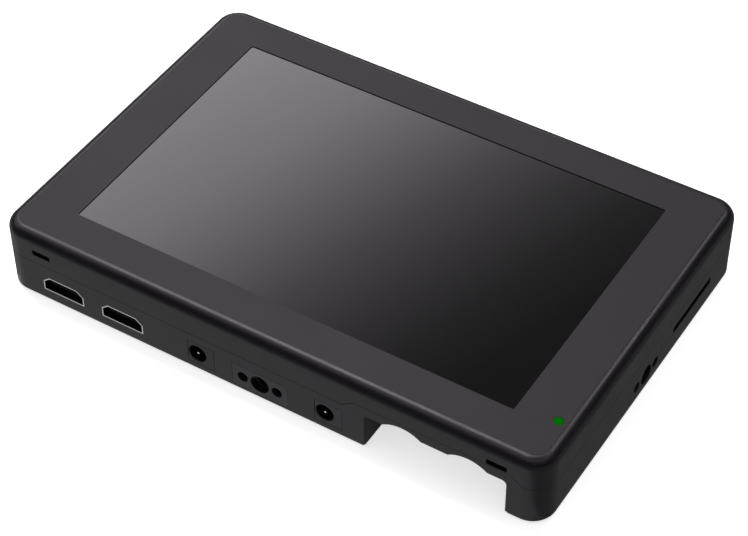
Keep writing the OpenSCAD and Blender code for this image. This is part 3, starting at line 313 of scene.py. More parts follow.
def clean_copy(node):
    """Copies a CAD node's mesh and merges its loose triangles into whole faces."""
    piece = bpy.data.objects.new(node + "_finished", frame["nodes"][node].data.copy())
    bpy.context.scene.collection.objects.link(piece)
    piece.data.materials.clear()
    pick(piece)
    bpy.ops.object.mode_set(mode="EDIT")
    bpy.ops.mesh.select_all(action="SELECT")
    bpy.ops.mesh.remove_doubles(threshold=WELD)
    bpy.ops.mesh.dissolve_limited(angle_limit=FLAT)
    bpy.ops.object.mode_set(mode="OBJECT")
    return piece


def corners_where(node, wanted):
    """The corners of a CAD node's mesh that pass a test."""
    return [v.co.copy() for v in frame["nodes"][node].data.vertices if wanted(v.co)]


def span(points, axis):
    """The lowest and the highest place of some points on an axis."""
    places = [point[axis] for point in points]
    return min(places), max(places)


def room_for(node, gap, bottom, top):
    """Two corners of a cutter that clears a CAD node's box by a gap, from a bottom to a top."""
    low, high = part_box(node)
    return Vector((low.x - gap, low.y - gap, bottom)), Vector((high.x + gap, high.y + gap, top))


def light_window():
    """The middle of the status light, and the radius of its window in the front panel."""
    low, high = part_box("light_pipe")
    middle = (low + high) / 2
    return middle, span(corners_where("light_pipe", lambda v: v.z > high.z - TOUCH), 0)[1] - middle.x


def mounts_named(start):
    return [mount for mount in RECORD["mounts"] if mount["name"].startswith(start)]


def dress(piece, material, *nodes, slot, body="housing"):
    """Gives a piece its material, and puts it on its body in place of CAD nodes."""
    piece.data.materials.clear()
    piece.data.materials.append(MATERIALS[material])
    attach(piece, body)
    if nodes:
        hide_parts(*nodes)
    return piece


def paint_faces(piece, material, wanted):
    """Gives the faces that pass a test a second material."""
    piece.data.materials.append(MATERIALS[material])
    for face in piece.data.polygons:
        if wanted(face):
            face.material_index = len(piece.data.materials) - 1


def finish_node(node, material, width, body="housing", segments=2, shape=None):
    """Replaces a CAD node by its own shape, perhaps shaped further, with broken edges and a material."""
    slot = next(part["material_slot"] for part in RECORD["subparts"] if part["node"] == node)
    piece = clean_copy(node)
    if shape:
        shape(piece)
    finish_edges(piece, width, segments)
    return dress(piece, material, node, slot=slot, body=body)


def paint(material, *nodes):
    """Gives CAD nodes that keep their shape a material."""
    for node in nodes:
        mesh = frame["nodes"][node].data
        mesh.materials.clear()
        mesh.materials.append(MATERIALS[material])


# ---- Materials ----


def feed(node, key, value):
    """Sets or links a node's input by its name or number."""
    if isinstance(value, bpy.types.NodeSocket):
        node.id_data.links.new(value, node.inputs[key])
    else:
        node.inputs[key].default_value = value


def add_node(material, kind, inputs, **settings):
    """Adds a shader node with its inputs and settings."""
    node = material.node_tree.nodes.new(kind)
    for name, value in settings.items():
        setattr(node, name, value)
    for key, value in inputs.items():
        feed(node, key, value)
    return node


def surface(name, colour, roughness, metallic=0.0, ior=None, gloss=0.5, tint=(1, 1, 1, 1)):
    """Starts a material from its colour and its typical gloss. A metal keeps the shader's own IOR."""
    material = bpy.data.materials.new(name)
    material.use_nodes = True
    shader = material.node_tree.nodes["Principled BSDF"]
    values = {
        "Base Color": (*colour, 1), "Roughness": roughness, "Metallic": metallic, "IOR": ior,
        "Specular IOR Level": gloss, "Specular Tint": tint,
    }
    for key, value in values.items():
        if value is not None:
            feed(shader, key, value)
    return material, shader


def noise(material, size, detail, roughness=0.5, stretch=(1, 1, 1)):
    """Soft random values over patches of a size. The stretch makes them run along an axis."""
    coordinates = add_node(material, "ShaderNodeTexCoord", {}).outputs["Object"]
    mapping = add_node(material, "ShaderNodeMapping", {"Vector": coordinates, "Scale": stretch})
    values = add_node(
        material, "ShaderNodeTexNoise",
        {"Vector": mapping.outputs["Vector"], "Scale": 1 / size, "Detail": detail, "Roughness": roughness},
    )
    return values.outputs["Fac"]


def grain(material, shader, size, height, stretch=(1, 1, 1)):
    """Raises a fine relief with grains of a size and height in metres."""
    bump = add_node(
        material, "ShaderNodeBump",
        {"Height": noise(material, size, 2.0, 0.6, stretch), "Distance": height, "Strength": 1.0},
    )
    feed(shader, "Normal", bump.outputs["Normal"])


def uneven_gloss(material, shader, size, low, high):
    """Lets the roughness wander between two values over patches of a size."""
    spread = add_node(
        material, "ShaderNodeMapRange",
        {
            "Value": noise(material, size, 3.0), "From Min": NOISE_LOW, "From Max": NOISE_HIGH,
            "To Min": low, "To Max": high,
        },
    )
    feed(shader, "Roughness", spread.outputs["Result"])


def uneven_colour(material, shader, size, colour, other):
    """Lets the colour wander a little between two tones over patches of a size."""
    ramp = add_node(material, "ShaderNodeValToRGB", {"Fac": noise(material, size, 4.0)})
    for element, position, tone in zip(ramp.color_ramp.elements, (0.35, 0.65), (colour, other)):
        element.position = position
        element.color = (*tone, 1)
    feed(shader, "Base Color", ramp.outputs["Color"])


def add_glow(material, colour, strength, shader=None):
    """Gives a material a glow, alone or added to a shader."""
    glow = add_node(material, "ShaderNodeEmission", {"Color": colour, "Strength": strength})
    if shader:
        glow = add_node(material, "ShaderNodeAddShader", {0: shader.outputs[0], 1: glow.outputs[0]})
    feed(material.node_tree.nodes["Material Output"], "Surface", glow.outputs[0])


def darker(colour, share):
    return [c * share for c in colour]


def moulded_plastic(name, colour, roughness=0.35, gloss=0.3):
    """ABS and PC blend from a spark eroded mould. It gives an even satin black with a fine bloom.

    The mould's real grain is about 0.05 mm. It is drawn at 0.22 mm, so that it shows.
    """
    material, shader = surface(name, colour, roughness, ior=1.55, gloss=gloss, tint=COOL_GLOSS)
    uneven_colour(material, shader, 9 * MM, darker(colour, 0.92), darker(colour, 1.06))
    uneven_gloss(material, shader, size=14 * MM, low=roughness - 0.03, high=roughness + 0.03)
    grain(material, shader, size=0.22 * MM, height=0.010 * MM)
    return material


def printed_film(name, colour):
    """Polycarbonate film, printed on its back and matted on its front: a soft, even dark grey."""
    material, shader = surface(name, colour, 0.5, ior=1.58, gloss=0.12, tint=COOL_GLOSS)
    uneven_gloss(material, shader, size=20 * MM, low=0.48, high=0.53)
    grain(material, shader, size=0.15 * MM, height=0.004 * MM)
    return material


def display_glass(name, colour):
    """Hard coated soda-lime glass bonded to a dark display: the eye sees black with a clear sheen."""
    material, shader = surface(name, colour, 0.06, ior=1.52, tint=COOL_GLOSS)
    uneven_gloss(material, shader, size=30 * MM, low=0.05, high=0.07)
    return material


def tinted_lens(name, colour):
    """Green polycarbonate light pipe. Its lamp glows a little through it."""
    material, shader = surface(name, colour, 0.35, ior=1.58, gloss=0.0)
    feed(shader, "Emission Color", (*colour, 1))
    feed(shader, "Emission Strength", 0.35)
    grain(material, shader, size=0.1 * MM, height=0.002 * MM)
    return material


def plated_metal(name, colour, roughness=0.24):
    """Steel or brass, drawn and then plated with nickel or gold: bright, with faint drawing lines."""
    material, shader = surface(name, colour, roughness, metallic=1.0)
    grain(material, shader, size=0.25 * MM, height=0.002 * MM, stretch=(1, 0.08, 1))
    uneven_gloss(material, shader, size=4 * MM, low=roughness - 0.04, high=roughness + 0.06)
    return material


def blackened_metal(name, colour, roughness=0.38):
    """Machined aluminium or steel under a black oxide layer, which shines like a hard black plastic."""
    material, shader = surface(name, colour, roughness, ior=1.6, gloss=0.33, tint=COOL_GLOSS)
    grain(material, shader, size=0.2 * MM, height=0.002 * MM, stretch=(1, 1, 0.1))
    uneven_gloss(material, shader, size=5 * MM, low=roughness - 0.04, high=roughness + 0.05)
    return material


def sheet_metal(name, colour, roughness=0.33):
    """Rolled sheet: a dull grey metal with faint lines along the rolling direction."""
    material, shader = surface(name, colour, roughness, metallic=1.0)
    grain(material, shader, size=0.3 * MM, height=0.003 * MM, stretch=(0.05, 1, 1))
    uneven_gloss(material, shader, size=8 * MM, low=roughness - 0.05, high=roughness + 0.07)
    return material


def solder_mask(name, colour):
    """Epoxy solder mask over copper tracks: a green varnish that is lighter over the copper."""
    material, shader = surface(name, colour, 0.3, ior=1.55)
    tracks = add_node(
        material, "ShaderNodeTexBrick",
        {
            "Vector": add_node(material, "ShaderNodeTexCoord", {}).outputs["Object"], "Scale": 1.0,
            "Color1": (*colour, 1), "Color2": (*darker(colour, 0.8), 1),
            "Mortar": (*darker(colour, 1.8), 1), "Mortar Size": 0.12 * MM,
            "Brick Width": 5.2 * MM, "Row Height": 1.1 * MM,
        },
    )
    feed(shader, "Base Color", tracks.outputs["Color"])
    grain(material, shader, size=0.8 * MM, height=0.006 * MM)
    return material


def soft_sheet(name, colour, roughness=0.85, grain_size=0.4 * MM):
    """Foam, tape or film: dull, with fine pores."""
    material, shader = surface(name, colour, roughness, ior=1.45)
    grain(material, shader, grain_size, height=0.04 * MM)
    return material


def make_materials(colours):
    """Makes each of the object's materials once."""
    MATERIALS.update(
        shell=moulded_plastic("abs_pc_moulded", colours.shell),
        bezel=printed_film("polycarbonate_film_matt", colours.bezel),
        glass=display_glass("soda_lime_glass_over_display", colours.glass),
        lens=tinted_lens("polycarbonate_lens_green", colours.lens),
        sockets=moulded_plastic("pbt_moulded_grey", colours.sockets, 0.5),
        # Black LCP of the sockets' insert mouldings and other small black parts. It is also laid as painted
        # shade on the walls inside the card slot, the video sockets' shells and the power sockets' holes,
        # and on the power pins' sides.
        inserts=moulded_plastic("lcp_moulded_black_and_painted_shade", linear("#0c0b0c"), 0.6, gloss=0.04),
        keys=moulded_plastic("abs_moulded_keys", colours.keys, 0.4),
        nickel=plated_metal("nickel_plated_steel", colours.nickel),
        pin=plated_metal("bright_nickel_pin", linear("#f2f0ee"), 0.16),
        brass=plated_metal("gold_plated_brass", colours.brass, 0.22),
        steel=sheet_metal("spring_steel_sheet", linear("#a9a8a6")),
        aluminium=sheet_metal("rolled_aluminium_sheet", linear("#bcbdbf"), 0.36),
        blackened=blackened_metal("black_anodised_aluminium", colours.blackened),
        # The thread's black oxide is darker and duller than the block's: partly its own finish, partly
        # painted shade for the inside of the bores.
        thread=blackened_metal("black_oxide_thread_and_painted_shade", linear("#0b0a0b"), 0.6),
        screws=blackened_metal("black_oxide_steel", linear("#202022"), 0.34),
        board=solder_mask("epoxy_board_solder_mask", linear("#0f4a2c")),
        epoxy=moulded_plastic("epoxy_mould_compound", linear("#1a1a1c"), 0.55),
        ivory=moulded_plastic("nylon_moulded_ivory", linear("#d9d4c4"), 0.5),
        foam=soft_sheet("pe_foam_black", linear("#171718")),
        diffuser=soft_sheet("acrylic_diffuser_white", linear("#e6e7e8"), 0.4, 0.2 * MM),
        film=soft_sheet("polyimide_film_amber", linear("#b06a1c"), 0.35, 0.3 * MM),
    )


# ---- Pieces ----


class MonitorOperator:
    bl_options = {"REGISTER", "UNDO"}


class MONITOR_OT_front_case(MonitorOperator, bpy.types.Operator):
    """Moulds the front case: a tray with a round front edge, the clip slots and the step over the bay"""

    bl_idname = "monitor.front_case"
    bl_label = "Front case"

    def execute(self, context):
        sizes = context.scene.monitor_sizes
        low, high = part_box("front_shell")
        panel_low, gasket_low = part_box("front_bezel")[0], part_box("glass_gasket")[0]
        case = rounded_block("front_case", low, high, sizes.corner_radius, segments=18)
        round_edges(case, level(2, high.z), sizes.front_round, segments=12)

        cavity = rounded_block(
            "cavity", *room_for("front_shell", -sizes.wall, low.z - OVER, gasket_low.z),
            sizes.cavity_corner_radius,
        )
        recess = rounded_block(
            "recess", *room_for("front_bezel", sizes.panel_gap, panel_low.z, high.z + OVER),
            sizes.panel_corner_radius,
        )
        glass_seat = rounded_block(
            "glass_seat", *room_for("cover_glass", sizes.glass_gap, gasket_low.z - OVER, high.z),
            sizes.glass_corner_radius + sizes.glass_gap,
        )
        middle, radius = light_window()
        light_hole = rod(
            "light_hole", (middle.x, middle.y, gasket_low.z - OVER), radius + sizes.light_gap,
            high.z - gasket_low.z + 2 * OVER, UP,
        )
        cut(case, cavity, recess, glass_seat, light_hole, self.step_over_bay(low, sizes.step_slope))
        for mount in mounts_named("hood_slots"):
            cut(case, *self.clip_slots(sizes, low, high, Vector(mount["pos_m"])))
        finish_edges(case, width=sizes.case_edge)
        dress(case, "shell", "front_shell", slot="shell")
        return {"FINISHED"}

    def step_over_bay(self, low, slope):
        """The parting line's raised step, taken from the CAD shell's lower edge."""
        least_rise, most_rise, depth = 2 * MM, 3 * MM, 2.5 * MM
        top = corners_where(
            "front_shell",
            lambda v: abs(v.y - low.y) < TOUCH and low.z + least_rise < v.z < low.z + most_rise,
        )
        step_z = span(top, 2)[1]
        narrow = span(top, 0)
        wide = narrow[0] - slope, narrow[1] + slope
        step = block("step", (wide[0], low.y - OVER, low.z), (wide[1], low.y + depth, step_z))
        narrowing = (narrow[1] - narrow[0]) / (wide[1] - wide[0])
        change_edges(step, level(2, step_z), bpy.ops.transform.resize, value=(narrowing, 1, 1))
        return change_edges(
            step, level(2, low.z), bpy.ops.mesh.extrude_region_move,
            TRANSFORM_OT_translate={"value": (0, 0, -OVER)},
        )

    def clip_slots(self, sizes, low, high, place):
        """The two clip slots of one side, right and left."""
        side = math.copysign(1, place.y)
        wall_y = high.y if side > 0 else low.y
        inner, outer = sorted((wall_y - side * sizes.slot_depth, wall_y + side * OVER))
        return [
            rounded_block(
                "clip_slot",
                (x - sizes.slot_length / 2, inner, place.z - sizes.slot_height / 2),
                (x + sizes.slot_length / 2, outer, place.z + sizes.slot_height / 2),
                sizes.slot_corner_radius, axis=1, segments=5,
            )
            for x in (low.x + sizes.slot_edge, high.x - sizes.slot_edge)
        ]


class MONITOR_OT_front_panel(MonitorOperator, bpy.types.Operator):
    """Makes the matt front panel with its window and the hole for the status light"""

    bl_idname = "monitor.front_panel"
    bl_label = "Front panel"

    def execute(self, context):
        sizes = context.scene.monitor_sizes
        low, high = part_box("front_bezel")
        panel = rounded_block("front_panel", low, high, sizes.panel_corner_radius)
        half_width, half_height = sizes.window_width / 2, sizes.window_height / 2
        window = rounded_block(
            "window", (-half_width, -half_height, low.z - OVER), (half_width, half_height, high.z + OVER),
            sizes.window_corner_radius, segments=6,
        )
        middle, radius = light_window()
        light_hole = rod(
            "light_hole", (middle.x, middle.y, low.z - OVER), radius + sizes.light_gap / 2,
            high.z - low.z + 2 * OVER, UP, 64,
        )
        cut(panel, window, light_hole)
        finish_edges(panel, width=0.04 * MM)
        dress(panel, "bezel", "front_bezel", slot="bezel")
        return {"FINISHED"}


class MONITOR_OT_display(MonitorOperator, bpy.types.Operator):
    """Makes the cover glass and finishes the display module behind it"""

    bl_idname = "monitor.display"
    bl_label = "Display"

    def execute(self, context):
        sizes = context.scene.monitor_sizes
        glass = rounded_block("screen_glass", *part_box("cover_glass"), sizes.glass_corner_radius)
        finish_edges(glass, width=0.15 * MM)
        dress(glass, "glass", "cover_glass", slot="cover_glass")
        paint("foam", "glass_gasket")
        paint("steel", "lcd_top_frame", "lcd_tray")
        paint("glass", "lcd_cell")
        paint("diffuser", "backlight_unit")
        paint("aluminium", "chassis_plate")
        return {"FINISHED"}


class MONITOR_OT_status_light(MonitorOperator, bpy.types.Operator):
    """Turns the green window of the status light and finishes its lamp"""

    bl_idname = "monitor.status_light"
    bl_label = "Status light"

    def execute(self, context):
        low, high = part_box("light_pipe")
        middle, radius = light_window()
        stem = rod("light_window", (middle.x, middle.y, low.z), radius, high.z - low.z, UP, 64)
        bottom, top = span(corners_where("light_pipe", lambda v: v.x > high.x - TOUCH), 2)
        collar = rod("collar", (middle.x, middle.y, bottom), high.x - middle.x, top - bottom, UP, 64)
        window = combine(stem, collar, "UNION")
        # The window's face is slightly domed, as a moulded lens is.
        round_edges(window, level(2, high.z), radius=0.25 * MM, segments=4)
        finish_edges(window, width=0)
        dress(window, "lens", "light_pipe", slot="green_lens")
        paint("board", "led_board")
        paint("diffuser", "status_led")
        return {"FINISHED"}


class MONITOR_OT_rear_cover(MonitorOperator, bpy.types.Operator):
    """Finishes the rear cover with the battery bay, the port openings and the vents"""

    bl_idname = "monitor.rear_cover"
    bl_label = "Rear cover"

    def execute(self, context):
        sizes = context.scene.monitor_sizes
        cover = finish_node("rear_cover", "shell", width=sizes.cover_edge, shape=self.round_bay)
        slot = Vector(mounts_named("card_slot")[0]["pos_m"])
        half_length, half_height, straight_out = 13 * MM, 1.4 * MM, 0.95
        # The card slot's walls, which don't look straight out, get the black insert plastic as painted
        # shade for the dark of the socket behind them.
        paint_faces(cover, "inserts", lambda face: (
            abs(face.normal.x) < straight_out and -sizes.wall < face.center.x - slot.x < 0
            and abs(face.center.y - slot.y) < half_length and abs(face.center.z - slot.z) < half_height))
        return {"FINISHED"}

    def round_bay(self, cover):
        """Rounds the battery bay's side walls where they end at the back, up into the bay's mouth."""
        plate_low, plate_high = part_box("battery_plate")
        # The walls stand this near to the plate, and their edges climb this far at the mouth.
        beside, climb = 1 * MM, 1.4 * MM
        round_edges(
            cover,
            lambda a, b: abs(a.x - b.x) < TOUCH and max(a.z, b.z) < climb and (
                abs(a.x - plate_low.x) < beside or abs(a.x - plate_high.x) < beside),
            bpy.context.scene.monitor_sizes.bay_edge_radius, segments=5,
        )


class MONITOR_OT_video_sockets(MonitorOperator, bpy.types.Operator):
    """Makes the two video sockets: bright folded shells with painted shade inside, black insert mouldings
    and a row of contacts
    """

    bl_idname = "monitor.video_sockets"
    bl_label = "Video sockets"

    def execute(self, context):
        sizes = context.scene.monitor_sizes
        sideways = 0.3
        for port in ("video_in", "video_out"):
            shell = finish_node(port + "_shell", "nickel", width=0.06 * MM)
            low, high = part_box(port + "_shell")
            middle = (low + high) / 2
            # Behind its bright rim the shell's faces that look inwards get the black insert plastic, as
            # painted shade for the socket's dark mouth.
            paint_faces(shell, "inserts", lambda face: (
                abs(face.normal.y) < sideways and face.normal.dot(face.center - middle)
                < face.normal.y * (face.center.y - middle.y)))
            finish_node(port + "_insert", "inserts", width=0.06 * MM)
            self.contacts(port, sizes)
        return {"FINISHED"}

    def contacts(self, port, sizes):
        """Gold contacts on the tongue's two faces, shaped once and repeated."""
        middle_x = sum(corner.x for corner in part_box(port + "_shell")) / 2
        face_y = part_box(port + "_insert")[0].y
        tongue = corners_where(port + "_insert", lambda v: v.y < face_y + TOUCH)
        left, right = span(tongue, 0)
        front, back, margin = face_y + 1.1 * MM, face_y + 5 * MM, 1 * MM
        count = int((right - left - margin) / sizes.contact_pitch / 2)
        half_width, half_thickness = sizes.contact_width / 2, sizes.contact_thickness / 2
        rows = []
        for z, shift in zip(span(tongue, 2), (0, sizes.contact_pitch / 2)):
            x = middle_x - (count - 0.5) * sizes.contact_pitch + shift
            strip = block(
                "contact", (x - half_width, front, z - half_thickness),
                (x + half_width, back, z + half_thickness),
            )
            round_edges(strip, along(0), radius=0.03 * MM, segments=1)
            modify(
                strip, "ARRAY", count=count, use_relative_offset=False, use_constant_offset=True,
                constant_offset_displace=(2 * sizes.contact_pitch, 0, 0),
            )
            rows.append(strip)
        row = finish_edges(join(port + "_contacts", rows), width=0)
        dress(row, "brass", slot="contact_brass")


class MONITOR_OT_power_sockets(MonitorOperator, bpy.types.Operator):
    """Makes the power inlet and outlet with their bright centre pins"""

    bl_idname = "monitor.power_sockets"
    bl_label = "Power sockets"

    def execute(self, context):
        sizes = context.scene.monitor_sizes
        inwards, widest_hole, straight_out = Vector((0, 1, 0)), 3.5 * MM, 0.97
        for port, plastic in (("power_inlet", "shell"), ("power_outlet", "sockets")):
            low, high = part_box(port)
            pin_low, pin_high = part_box(port + "_pin")
            middle = (pin_low + pin_high) / 2
            mouth = Vector((middle.x, low.y, middle.z))
            hole_radius = max(abs(v.x - mouth.x) for v in corners_where(port, lambda v: (
                v.y < low.y + TOUCH and abs(v.z - mouth.z) < TOUCH and abs(v.x - mouth.x) < widest_hole)))
            socket = block(port + "_socket", low, high)
            depth = high.y - low.y - sizes.socket_back
            cut(socket, rod("hole", mouth - inwards * OVER, hole_radius, depth + OVER, inwards, 64))
            # A turned funnel leads the plug in.
            round_edges(
                socket,
                lambda a, b: level(1, low.y)(a, b) and max(
                    (a - mouth).length, (b - mouth).length) < hole_radius + TOUCH,
                sizes.funnel, segments=2,
            )
            finish_edges(socket, width=0.12 * MM)
            dress(socket, plastic, port, slot="grey_plastic")
            # The hole's inside gets the black insert plastic as painted shade.
            paint_faces(socket, "inserts", lambda face: face.center.y > low.y + 5 * TOUCH and (
                Vector((face.center.x - mouth.x, face.center.z - mouth.z)).length < hole_radius + TOUCH))

            pin = rod(
                port + "_bright_pin", (middle.x, pin_low.y, middle.z), (pin_high.x - pin_low.x) / 2,
                pin_high.y - pin_low.y, inwards, 40,
            )
            round_edges(pin, level(1, pin_low.y), sizes.pin_tip_radius, segments=6)
            finish_edges(pin, width=0)
            dress(pin, "pin", port + "_pin", slot="bright_metal")
            # Only its end stays bright nickel. Its side gets the black insert plastic, as painted shade for
            # the dark of the hole.
            paint_faces(pin, "inserts", lambda face: face.normal.y > -straight_out)
        return {"FINISHED"}


class MONITOR_OT_mount_blocks(MonitorOperator, bpy.types.Operator):
    """Machines the two mount blocks and winds the thread in their bores"""

    bl_idname = "monitor.mount_blocks"
    bl_label = "Mount blocks"

    def execute(self, context):
        sizes = context.scene.monitor_sizes
        sideways = 0.5
        for name, node in (("tripod_bottom", "mount_block_bottom"), ("tripod_side", "mount_block_side")):
            machined = finish_node(node, "blackened", width=0.1 * MM)
            mount = mounts_named(name)[0]
            axis, place = Vector(mount["axis"]), Vector(mount["pos_m"])
            radius = mount["dims"]["r_mm"] * MM
            # The bore's walls get the darker thread material, partly as painted shade inside the bore.
            paint_faces(machined, "thread", lambda face: (
                axis.cross(face.center - place).length < radius + TOUCH
                and abs(face.normal.dot(axis)) < sideways))
            thread = self.wound_thread(node + "_thread", mount, sizes)
            dress(thread, "thread", slot="mount_metal")
        return {"FINISHED"}

    def wound_thread(self, name, mount, sizes):
        """One ridge that climbs round the bore, with a V section, from just inside the mouth."""
        radius, length = mount["dims"]["r_mm"] * MM, mount["dims"]["length_mm"] * MM
        pitch = sizes.thread_pitch
        into = -Vector(mount["axis"])
        mouth = Vector(mount["pos_m"]) - into * length / 2
        lead_in, ends = 0.9 * MM, 1.2 * MM
        turns = int((length - ends) / pitch) - 1
        root, crest = radius - TOUCH / 2, radius - sizes.thread_depth
        half_root, half_crest = 0.42 * pitch, 0.08 * pitch
        section = (root, -half_root), (crest, -half_crest), (crest, half_crest), (root, half_root)
        deselect()
        bpy.ops.mesh.primitive_circle_add(vertices=len(section))
        ridge = added(name)
        for corner, (x, z) in zip(ridge.data.vertices, section):
            corner.co = (x, 0, z)
        modify(
            ridge, "SCREW", axis="Z", screw_offset=pitch, iterations=turns, steps=48, render_steps=48,
            use_normal_calculate=True,
        )
        bpy.ops.object.mode_set(mode="EDIT")
        bpy.ops.mesh.select_all(action="SELECT")
        bpy.ops.mesh.select_non_manifold()
        bpy.ops.mesh.edge_face_add()
        bpy.ops.mesh.select_all(action="SELECT")
        bpy.ops.mesh.normals_make_consistent(inside=False)
        bpy.ops.object.mode_set(mode="OBJECT")
        place = Matrix.Translation(mouth + into * (lead_in + pitch / 2))
        ridge.data.transform(place @ into.to_track_quat("Z", "Y").to_matrix().to_4x4())
        return finish_edges(ridge, width=0)


class MONITOR_OT_card_socket(MonitorOperator, bpy.types.Operator):
    """Finishes the card socket, its slide and the slide's spring"""

    bl_idname = "monitor.card_socket"
    bl_label = "Card socket"

    def execute(self, context):
        finish_node("card_socket", "nickel", width=0.05 * MM)
        finish_node("card_slide", "inserts", body="card_slide", width=0.1 * MM)
        paint("steel", "card_spring")
        return {"FINISHED"}


class MONITOR_OT_keys(MonitorOperator, bpy.types.Operator):
    """Moulds the power key and the four function keys with rounded faces"""

    bl_idname = "monitor.keys"
    bl_label = "Keys"

    def execute(self, context):
        for key in ("power_key", "key_1", "key_2", "key_3", "key_4"):
            finish_node(key, "keys", body=key, width=0.25 * MM, segments=3)
        paint("inserts", "power_plunger", *(f"key_{k}_plunger" for k in range(1, 5)))
        paint("board", "key_board")
        paint("inserts", "key_switches")
        return {"FINISHED"}


class MONITOR_OT_battery_plate(MonitorOperator, bpy.types.Operator):
    """Finishes the battery plate with its hooks, contact blades and latch"""

    bl_idname = "monitor.battery_plate"
    bl_label = "Battery plate"

    def execute(self, context):
        finish_node("battery_plate", "keys", width=0.2 * MM)
        finish_node("battery_contacts", "brass", width=0.1 * MM)
        finish_node("battery_latch", "sockets", body="battery_latch", width=0.25 * MM)
        paint("steel", "latch_spring")
        return {"FINISHED"}


class MONITOR_OT_screws(MonitorOperator, bpy.types.Operator):
    """Finishes the screws, whose recessed heads show at the back and in the bay"""

    bl_idname = "monitor.screws"
    bl_label = "Screws"

    def execute(self, context):
        finish_node("cover_screws", "screws", width=0.12 * MM)
        finish_node("plate_screws", "screws", width=0.08 * MM)
        finish_node("block_screws", "screws", width=0.05 * MM)
        paint("steel", "board_screws", "blower_screws")
        return {"FINISHED"}


class MONITOR_OT_cooling(MonitorOperator, bpy.types.Operator):
    """Finishes the blower behind its slots and the heat sink"""

    bl_idname = "monitor.cooling"
    bl_label = "Cooling"

    def execute(self, context):
        finish_node("blower_rotor", "inserts", body="blower_rotor", width=0.08 * MM)
        paint("inserts", "blower_housing")
        paint("steel", "blower_lid")
        paint("blackened", "heat_sink")
        return {"FINISHED"}


class MONITOR_OT_circuits(MonitorOperator, bpy.types.Operator):
    """Finishes the circuit board, what stands on it and its leads"""

    bl_idname = "monitor.circuits"
    bl_label = "Circuits"

    def execute(self, context):
        paint("board", "main_board")
        paint("epoxy", "board_chips", "processor")
        paint("steel", "board_power_parts")
        paint("ivory", "board_sockets")
        paint("film", "lcd_flex")
        paint("foam", "battery_lead")
        return {"FINISHED"}


